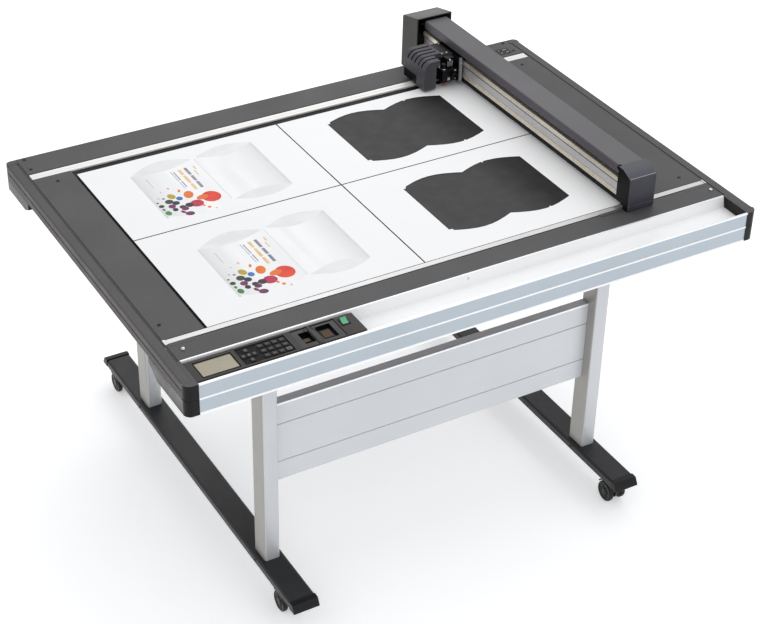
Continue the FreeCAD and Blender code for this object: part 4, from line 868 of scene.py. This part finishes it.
# upward faces take the painted lit green, the others the painted shade green
skin("power_rocker", [green_painted_lit, green_painted_shade], lambda n, c: green_painted_lit if n.z > 0.5 else green_painted_shade, bevel=0.7, segs=3)
sh = Shape("rocker_surround")
for x0, y0, x1, y1 in ((350.6, 41.6, 369.4, 43.9), (350.6, 62.1, 369.4, 64.4), (350.6, 41.6, 352.9, 64.4), (367.1, 41.6, 369.4, 64.4)):
    sh.box(x0, y0, T - 1.4, x1, y1, T + 0.3, black_gloss, r=0.6)
sh.done("root", bevel=0.25)

# ---------------------------------------------------------- underside and drive
skin("base_pan", [pan_m], bevel=0.6)
skin("x_belts", [belt_m], bevel=0.0)
skin("x_motor", [motor_m], bevel=0.8)
skin("main_board", [board_m, motor_m], lambda n, c: motor_m if c[2] > T - 50 and c[2] < T - 37 and abs(c[0] - 224) > -1 and c[2] > T - 49.9 else board_m, bevel=0.0)
for n in ("x_drive_shaft", "x_idler_shaft", "y_drive_pulley", "y_idler_pulley"):
    skin(n, [steel], bevel=0.25)
skin("power_inlet", [inlet_m], bevel=0.5)
sh = Shape("inlet_pins")
for px in (1195.5, 1201.0, 1206.5):
    sh.box(px - 0.9, 941.2, T - 40, px + 0.9, 945.6, T - 34, steel, r=0.4)
for k in range(5):
    sh.cyl("y", (1259.6 + 4.4 * k, 941.2, T - 39.6), 0.5, 3.6, gold, 12, 0.15)
for k in range(4):
    sh.cyl("y", (1261.8 + 4.4 * k, 941.2, T - 42.4), 0.5, 3.6, gold, 12, 0.15)
for sx in (1182.6, 1287.0):
    sh.lathe("y", (sx, 942.0, T - 37), [(0, 1.5), (1.3, 1.4), (2.1, 1.0), (2.4, 0.2), (2.4, 0.0), (0, 0.0)], steel, n=24)
sh.done("root")

# ------------------------------------------------------------------------ stand
# the legs' left-facing faces take the painted shade
for a in ("front", "rear"):
    for s in ("left", "right"):
        skin("leg_%s_%s" % (a, s), [stand_front, stand_side_painted_shade], lambda n, c: stand_side_painted_shade if n.x < -0.6 else stand_front, bevel=0.3)
skin("modesty_slats", [slat_m, slat_top], lambda n, c: slat_top if n.z > 0.7 and c[2] > 465 else slat_m, bevel=1.0, segs=3)
# the slat's front lip, in the painted highlight colour
sh = Shape("slat_lip")
sh.box(273.5, 195.9, 466.0, 1062.5, 199.2, 471.4, lip_painted_highlight)
sh.done("root", bevel=0.6)
for s in ("left", "right"):
    skin("foot_" + s, [foot_m], bevel=0.9, segs=3)
skin("foot_end_caps", [foot_cap_m], bevel=1.4, segs=3)
skin("caster_stems", [steel], bevel=0.4)
sh = Shape("stand_screws")
for cx in (255.0, 1081.0):
    for y in (196.0, 814.0):
        for k in (-1, 1):
            sh.lathe("x", (cx + k * 30.0, y, 71.0), [(0, k * 1.6), (1.6, k * 1.6), (1.8, k * 1.0), (2.6, k * 1.6), (3.6, k * 1.1), (4.0, 0.0), (0, 0.0)], screw_black, n=28)
sh.done("root")

PIV = {"front_left": (255.0, 84.0, 18.0), "front_right": (1081.0, 84.0, -18.0), "rear_left": (255.0, 974.0, 18.0), "rear_right": (1081.0, 974.0, 18.0)}
for tag, (cx, py, tr) in PIV.items():
    ay = py + tr
    d = 1.0 if tr > 0 else -1.0
    sh = Shape("caster_hood_%s_part" % tag)
    # web between the wheels, boss round the stem
    web = []
    for k in range(29):
        a = math.radians(-40 + 260.0 * k / 28)
        web.append((ay + d * 20.6 * math.cos(a), 25.0 + 20.6 * math.sin(a)))
    sh.prism(web, "x", cx - 3.0, cx + 3.0, nylon)
    sh.lathe("z", (cx, py, 0.0), [(5.1, 38.0), (9.0, 38.0), (9.0, 56.4), (8.2, 57.4), (5.1, 57.4), (5.1, 38.0)], nylon, n=36)
    sh.box(cx - 3.0, min(py, ay), 31.0, cx + 3.0, max(py, ay), 50.0, nylon)
    # fender over both wheels
    ring = []
    for k in range(25):
        a = math.radians(28 + 118.0 * k / 24)
        ring.append((ay + d * 30.4 * math.cos(a), 25.0 + 30.4 * math.sin(a)))
    for k in range(25):
        a = math.radians(146 - 118.0 * k / 24)
        ring.append((ay + d * 26.8 * math.cos(a), 25.0 + 26.8 * math.sin(a)))
    sh.prism(ring, "x", cx - 20.5, cx + 20.5, nylon)
    # the fender's root, between the wheels
    root = []
    for k in range(15):
        a = math.radians(40 + 95.0 * k / 14)
        root.append((ay + d * 27.4 * math.cos(a), 25.0 + 27.4 * math.sin(a)))
    for k in range(15):
        a = math.radians(135 - 95.0 * k / 14)
        root.append((ay + d * 17.0 * math.cos(a), 25.0 + 17.0 * math.sin(a)))
    sh.prism(root, "x", cx - 4.5, cx + 4.5, nylon)
    sh.done("swivel_" + tag, ["caster_hood_" + tag], bevel=0.7, segs=3)

    sh = Shape("caster_wheels_%s_part" % tag)
    for k in (-1, 1):
        prof = [(3.0, 10.5), (20.5, 10.5), (23.2, 11.0), (24.5, 12.0), (25.0, 13.6), (25.0, 19.0), (24.4, 20.6), (23.0, 21.6), (21.4, 22.0),
                (20.4, 21.7), (19.8, 20.6), (9.6, 19.6), (8.8, 20.4), (8.2, 21.4), (6.6, 21.9), (0, 21.9)]
        sh.lathe("x", (cx, ay, 25.0), [(r, k * h) for r, h in prof], tread, n=56,
                 mats=[nylon, nylon, tread, tread, tread, tread, tread, nylon, nylon, nylon, nylon, nylon, nylon, nylon, nylon, nylon])
        for q in range(6):
            a = 2 * math.pi * q / 6
            u, v = math.cos(a), math.sin(a)
            pts = [(ay + u * r - v * w, 25.0 + v * r + u * w) for r, w in ((9.0, -1.0), (20.0, -0.7), (20.0, 0.7), (9.0, 1.0))]
            lo, hi = sorted((k * 19.2, k * 20.9))
            sh.prism(pts, "x", cx + lo, cx + hi, nylon)
    sh.cyl("x", (cx - 20.0, ay, 25.0), 3.0, 40.0, steel, 24)
    sh.done("wheels_" + tag, ["caster_wheels_" + tag], bevel=0.0)


# ----------------------------------------------------------------------- gantry
def pick_beam(n, c):
    x, y, z = c
    if y < 162 or y > 966:
        return black_metal
    # painted shade: the beam's underside is near-black
    if z < T + 18.2 and n.z < -0.5:
        return recess_black_and_shade
    if n.x < -0.3 or abs(n.z) > 0.3:
        # painted shade: the recess above the upper rail and the beam's right-hand part are near-black
        if z > T + 61.5 or x > 1098:
            return dark_inside_and_shade
        if n.z > 0.5 and T + 60 < z < T + 61.5:
            return beam_warm
        if T + 50 < z < T + 61.2:
            return beam_warm
        if T + 45.6 < z < T + 50.1:
            return recess_black_and_shade
        if z < T + 29.1:
            return beam_warm
        return beam_face
    return beam_face


skin("gantry_beam", [beam_face, beam_warm, dark_inside_and_shade, recess_black_and_shade, black_metal], pick_beam, bevel=0.35)
# the cover's side faces take the painted shade
skin("gantry_cover", [gantry_top, gantry_side_painted_shade], lambda n, c: gantry_top if n.z > 0.9 else gantry_side_painted_shade, bevel=0.8, segs=3)


def pick_cap(n, c):
    if n.y < -0.9:
        return cap_front_m
    if n.y < -0.3 and n.z > 0.2:
        return cap_facet_m
    if n.z > 0.6:
        return cap_facet_m
    return cap_side_m


skin("gantry_cap_front", [cap_front_m, cap_facet_m, cap_side_m], pick_cap, bevel=1.6, segs=4)


def pick_cap_back(n, c):
    # painted shade: the back cap's face towards the table, which lies in shadow, takes the near-black colour
    if 1067 < c[0] < 1160 and -0.9 < n.y and c[2] < T + 99 and n.z < 0.2 and abs(n.x) < 0.5:
        return dark_inside_and_shade
    if n.z > 0.6:
        return cap_back_top
    return cap_back_m


skin("gantry_cap_back", [cap_back_m, cap_back_top, dark_inside_and_shade], pick_cap_back, bevel=1.6, segs=4)
skin("y_motor", [motor_m], bevel=0.5)

# toothed belt: a flat band with teeth on its inner face
sh = Shape("y_belt_part")
zc, r = T + 73.0, 6.6
outer, inner = [], []
n = 16
for y, a0 in ((148.0, 90), (990.0, -90)):
    for k in range(n + 1):
        a = math.radians(a0 + 180.0 * k / n)
        outer.append((y + 7.6 * math.cos(a), zc + 7.6 * math.sin(a)))
        inner.append((y + 6.9 * math.cos(a), zc + 6.9 * math.sin(a)))
m_ = len(outer)
vo = [[sh.bm.verts.new(W(x, p[0], p[1])) for p in outer] for x in (1092.0, 1096.6)]
vi = [[sh.bm.verts.new(W(x, p[0], p[1])) for p in inner] for x in (1092.0, 1096.6)]
ib = sh.idx(belt_m)
fs = []
for k in range(m_):
    q = (k + 1) % m_
    for quad in ((vo[0][k], vo[0][q], vo[1][q], vo[1][k]), (vi[0][q], vi[0][k], vi[1][k], vi[1][q]),
                 (vo[0][q], vo[0][k], vi[0][k], vi[0][q]), (vo[1][k], vo[1][q], vi[1][q], vi[1][k])):
        f = sh.bm.faces.new(quad)
        f.material_index = ib
        fs.append(f)
bmesh.ops.recalc_face_normals(sh.bm, faces=fs)
for k in range(208):
    y = 153.0 + 4.0 * k
    for z0, z1 in ((zc + 6.35, zc + 7.0), (zc - 7.0, zc - 6.35)):
        sh.box(1092.2, y, z0, 1096.4, y + 2.0, z1, belt_m)
sh.done("gantry", ["y_belt"])

# Bits at the beam's front end, and the shoe that covers the slot beside the front cap.
sh = Shape("gantry_end_clip")
loop = []
for k in range(19):
    a = math.radians(-30 + 240.0 * k / 18)
    loop.append((1086.0 + 4.6 * math.cos(a), 167.4, T + 88.5 + 4.6 * math.sin(a)))
sh.tube(loop, 1.4, cap_side_m, 10)
sh.box(1082.6, 166.0, T + 83.0, 1089.5, 169.4, T + 87.0, cap_side_m, r=0.8)
sh.done("gantry")
sh = Shape("gantry_slot_shoe")
sh.box(1024.0, 134.5, T + 0.75, 1084.0, 143.6, T + 1.1, grey_top, r=1.2)
sh.box(1070.0, 144.5, T + 0.75, 1084.0, 157.5, T + 1.35, grey_bracket, r=1.2)
sh.done("gantry", bevel=0.15)
# painted highlight: a thin light grey rod along the front cap's upper front edge; below it, a fainter line on the
# cap's face
sh = Shape("gantry_cap_lines")
sh.tube([(1084.5, 124.15, T + 79.6), (1149.5, 124.15, T + 79.6)], 0.75, grey_bracket, 10)
sh.tube([(1084.5, 123.35, T + 13.0), (1149.5, 123.35, T + 13.0)], 0.55, cap_facet_m, 10)
sh.done("gantry")
# screws on the cover's right-hand skirt
sh = Shape("gantry_skirt_screws")
for y in (230.0, 470.0, 710.0, 930.0):
    sh.lathe("x", (1148.0, y, T + 30.0), [(0, 1.2), (1.2, 1.2), (1.4, 0.7), (2.2, 1.3), (3.1, 0.9), (3.4, 0.0), (0, 0.0)], screw_black, n=26)
sh.done("gantry")

# --------------------------------------------------------------------- carriage


def pick_carriage(n, c):
    x, y, z = c[0], c[1], c[2] - T
    r = math.hypot(x - 1004.0, z - 54.0)
    if abs(n.y) > 0.9:
        side = z > 54.0 and 801 < y < 880 and (r < 21.95 if x < 1004 else z > 74.5)
        return dark_inside_and_shade if side or (y > 826 and z < 62) else carriage_m
    if x < 1004.0 and z > 54.0 and r < 21.4:
        return dark_inside_and_shade
    if x >= 1004.0 and n.z > 0.5 and 66.5 < z < 75.4 and x < 1046.0:
        return dark_inside_and_shade
    # painted shade: the lower rear part of the roll takes the caps' near-black, where it lies in shadow
    if z < 30 and y > 828 and x < 1004:
        return cap_side_m
    # painted shade: undersides and lower right-facing faces are near-black
    if n.z < -0.5 or (n.x > 0.5 and z < 66):
        return dark_inside_and_shade
    if x > 1047.5 and z > 60:
        return black_metal
    return carriage_m


skin("carriage_cover", [carriage_m, dark_inside_and_shade, cap_side_m, black_metal], pick_carriage, bevel=0.45, segs=2, cuts=[("z", T + 30.0), ("y", 828.0)])
skin("carriage_base", [black_metal, dark_inside_and_shade], lambda n, c: dark_inside_and_shade if c[0] < 1078 and n.y < -0.5 else black_metal, bevel=0.6)
sh = Shape("carriage_fittings")
# light grey bracket at the plate's front edge, and its screws
sh.prism([(786.5, T + 9), (791.8, T + 9), (791.8, T + 69), (789.6, T + 72), (786.5, T + 66)], "x", 1076.5, 1082.5, grey_bracket)
for z in (T + 18, T + 42, T + 58):
    sh.lathe("y", (1079.5, 786.5, z), [(0, -1.2), (0.9, -1.2), (1.1, -0.8), (1.7, -1.2), (2.2, -0.5), (2.2, 0.0), (0, 0.0)], steel, n=20)
# the lift's two guide rods with their springs, in front of the block
for x in (1064.0, 1074.5):
    sh.cyl("z", (x, 825.5 - 8.0, T + 46.5), 1.3, 14.5, steel, 20, 0.3)
    coil = []
    for k in range(85):
        a = 2 * math.pi * k / 12
        coil.append((x + 2.3 * math.cos(a), 817.5 + 2.3 * math.sin(a), T + 47.5 + 11.0 * k / 84))
    sh.tube(coil, 0.42, steel, 6)
# small actuator and lever over the holder
sh.box(1051.0, 806.0, T + 60.6, 1072.0, 821.0, T + 68.0, black_metal, r=1.5)
sh.cyl("y", (1058.0, 800.5, T + 64.5), 2.6, 6.0, steel, 24, 0.5)
sh.prism([(1029.0, T + 50), (1033.0, T + 46), (1033.0, T + 62), (1029.0, T + 66)], "y", 806.0, 819.0, grey_bracket)
for k in range(3):
    sh.box(1053.0 + 5.5 * k, 804.6, T + 47.0, 1056.0 + 5.5 * k, 806.4, T + 60.0, grey_bracket, r=0.5)
for x, y in ((1053.0, 832.0), (1066.0, 832.0), (1073.0, 880.0)):
    sh.lathe("z", (x, y, T + 70.0), [(0, 1.0), (0.9, 1.0), (1.2, 0.5), (1.8, 1.1), (2.4, 0.6), (2.4, 0.0), (0, 0.0)], steel, n=20)
sh.done("carriage", bevel=0.25)

skin("tool_holder", [black_metal], bevel=0.8, segs=3)
sh = Shape("holder_fittings")
sh.box(1046.5, 791.4, T + 18.0, 1053.0, 793.4, T + 26.0, grey_bracket, r=0.8)
sh.lathe("y", (1049.7, 791.4, T + 22.0), [(0, -0.9), (0.8, -0.9), (1.0, -0.5), (1.6, -0.9), (2.0, -0.3), (2.0, 0.0), (0, 0.0)], steel, n=20)
sh.lathe("y", (1067.5, 793.2, T + 20.5), [(0, -1.2), (0.9, -1.2), (1.1, -0.7), (1.8, -1.1), (2.3, -0.4), (2.3, 0.0), (0, 0.0)], steel, n=20)
sh.lathe("y", (1067.5, 793.2, T + 40.5), [(0, -1.2), (0.9, -1.2), (1.1, -0.7), (1.8, -1.1), (2.3, -0.4), (2.3, 0.0), (0, 0.0)], steel, n=20)
sh.done("tool")

# clamp screw with a knurled head
sh = Shape("clamp_screw_part")
prof = []
n = 40
rings = []
for h, rr in ((781.0, 4.8), (781.7, 5.7), (782.0, 6.0), (789.0, 6.0), (789.6, 5.5), (790.0, 4.6)):
    ring = []
    for k in range(n):
        a = 2 * math.pi * k / n
        ru = rr - (0.38 if (k % 2 and rr > 5.9) else 0.0)
        ring.append(sh.bm.verts.new(W(1060 + ru * math.cos(a), h, T + 32 + ru * math.sin(a))))
    rings.append(ring)
i = sh.idx(black_metal)
fs = []
for q in range(len(rings) - 1):
    for k in range(n):
        f = sh.bm.faces.new([rings[q][k], rings[q][(k + 1) % n], rings[q + 1][(k + 1) % n], rings[q + 1][k]])
        f.material_index = i
        fs.append(f)
for rg in (rings[0][::-1], rings[-1]):
    f = sh.bm.faces.new(rg)
    f.material_index = i
    fs.append(f)
bmesh.ops.recalc_face_normals(sh.bm, faces=fs)
sh.lathe("y", (1060, 781.0, T + 32), [(0, -0.0), (2.4, -0.0), (2.4, 0.3), (0, 0.3)], steel, n=24)
sh.lathe("y", (1060, 790.0, T + 32), [(0, 0.0), (3.5, 0.0), (3.5, 2.6), (2.0, 2.6), (2.0, 20.0), (0, 20.0)], steel, n=28)
sh.done("clamp", ["clamp_screw"])

# cutter: barrel, flange, red nose and blade
sh = Shape("cutter_pen_part")
sh.lathe("z", (1041.0, 803.0, T), [(0, 2.3), (0.5, 2.5), (0.5, 4.0), (2.6, 4.0), (3.1, 4.6), (5.0, 9.2), (5.4, 9.8), (5.7, 10.4), (5.7, 44.3), (6.4, 44.3), (7.0, 44.8), (7.0, 46.8),
                                   (6.4, 47.3), (5.7, 47.3), (5.7, 55.0), (5.3, 55.4), (5.3, 56.2), (5.7, 56.6), (5.7, 58.2), (5.0, 59.0), (0, 59.0)], red_nose, n=44,
         mats=[steel, steel, steel, red_nose, red_nose, red_nose, red_nose, black_metal, black_metal, steel, steel, steel, steel, black_metal, black_metal, black_metal,
               steel, black_metal, black_metal, black_metal, black_metal])
sh.done("cutter", ["cutter_pen"])

# --------------------------------------------------------- floor, light, camera
def floor_material():
    m = Mat("floor_pale")
    broad = m.span(m.noise(0.8, 3.0), 0.35, 0.65, 0.0, 0.5)
    col = m.mix(broad, lin(249, 249, 249), lin(246, 246, 247))
    m.link(col, m.p.inputs["Base Color"])
    m.link(m.span(m.noise(3.0), 0.3, 0.7, 0.75, 0.85), m.p.inputs["Roughness"])
    m.p.inputs["Specular IOR Level"].default_value = 0.2
    m.p.inputs["Emission Color"].default_value = (1.0, 1.0, 1.0, 1.0)
    m.p.inputs["Emission Strength"].default_value = 0.36
    return m.m


me = bpy.data.meshes.new("floor_mesh")
bm = bmesh.new()
bmesh.ops.create_grid(bm, x_segments=2, y_segments=2, size=14.0)
bm.to_mesh(me)
bm.free()
me.materials.append(floor_material())
floor = bpy.data.objects.new("floor", me)
floor.location = (0, 0, -0.0006)
bpy.context.scene.collection.objects.link(floor)

world = bpy.data.worlds.new("studio")
world.use_nodes = True
bg = world.node_tree.nodes["Background"]
bg.inputs["Color"].default_value = (0.97, 0.98, 1.0, 1.0)
bg.inputs["Strength"].default_value = 0.76
bpy.context.scene.world = world


def area(name, loc, target, size, power, color=(1, 1, 1), shape_y=None):
    light = bpy.data.lights.new(name, "AREA")
    light.shape = "RECTANGLE"
    light.size = size
    light.size_y = shape_y or size
    light.energy = power
    light.color = color
    ob = bpy.data.objects.new(name, light)
    ob.location = loc
    ob.rotation_mode = "QUATERNION"
    ob.rotation_quaternion = (Vector(loc) - Vector(target)).to_track_quat("Z", "Y")
    bpy.context.scene.collection.objects.link(ob)
    return ob


area("key_top", (1.1, 0.9, 3.5), (0.1, 0, 0.7), 3.0, 27.0, (1.0, 0.995, 0.985))
area("front_fill", (0.8, -3.6, 1.9), (0, 0, 0.5), 2.6, 12.0, (0.97, 0.985, 1.0), 1.8)
area("left_fill", (-3.8, -0.8, 1.8), (0, 0, 0.5), 2.4, 4.0, (1.0, 0.985, 0.965))
area("back_rim", (1.2, 3.4, 2.6), (0, 0, 0.7), 2.4, 9.0, (1.0, 1.0, 1.0))

cam_data = bpy.data.cameras.new("camera")
cam_data.lens = 85.59
cam_data.sensor_width = 36.0
cam_data.sensor_fit = "HORIZONTAL"
cam_data.clip_start = 0.05
cam_data.clip_end = 100.0
cam = bpy.data.objects.new("camera", cam_data)
a, e, roll = -0.5331, 0.5989, 0.0227
zc = Vector((math.sin(a) * math.cos(e), -math.cos(a) * math.cos(e), math.sin(e)))
xc = Vector((0, 0, 1)).cross(zc).normalized()
yc = zc.cross(xc)
c_, s_ = math.cos(roll), math.sin(roll)
x2 = xc * c_ + yc * s_
y2 = yc * c_ - xc * s_
cam.matrix_world = Matrix(((x2.x, y2.x, zc.x, -1.70407), (x2.y, y2.y, zc.y, -2.96969), (x2.z, y2.z, zc.z, 2.71848), (0, 0, 0, 1)))
bpy.context.scene.collection.objects.link(cam)
bpy.context.scene.camera = cam
bpy.context.scene.view_settings.view_transform = "Standard"

bpy.context.view_layer.update()
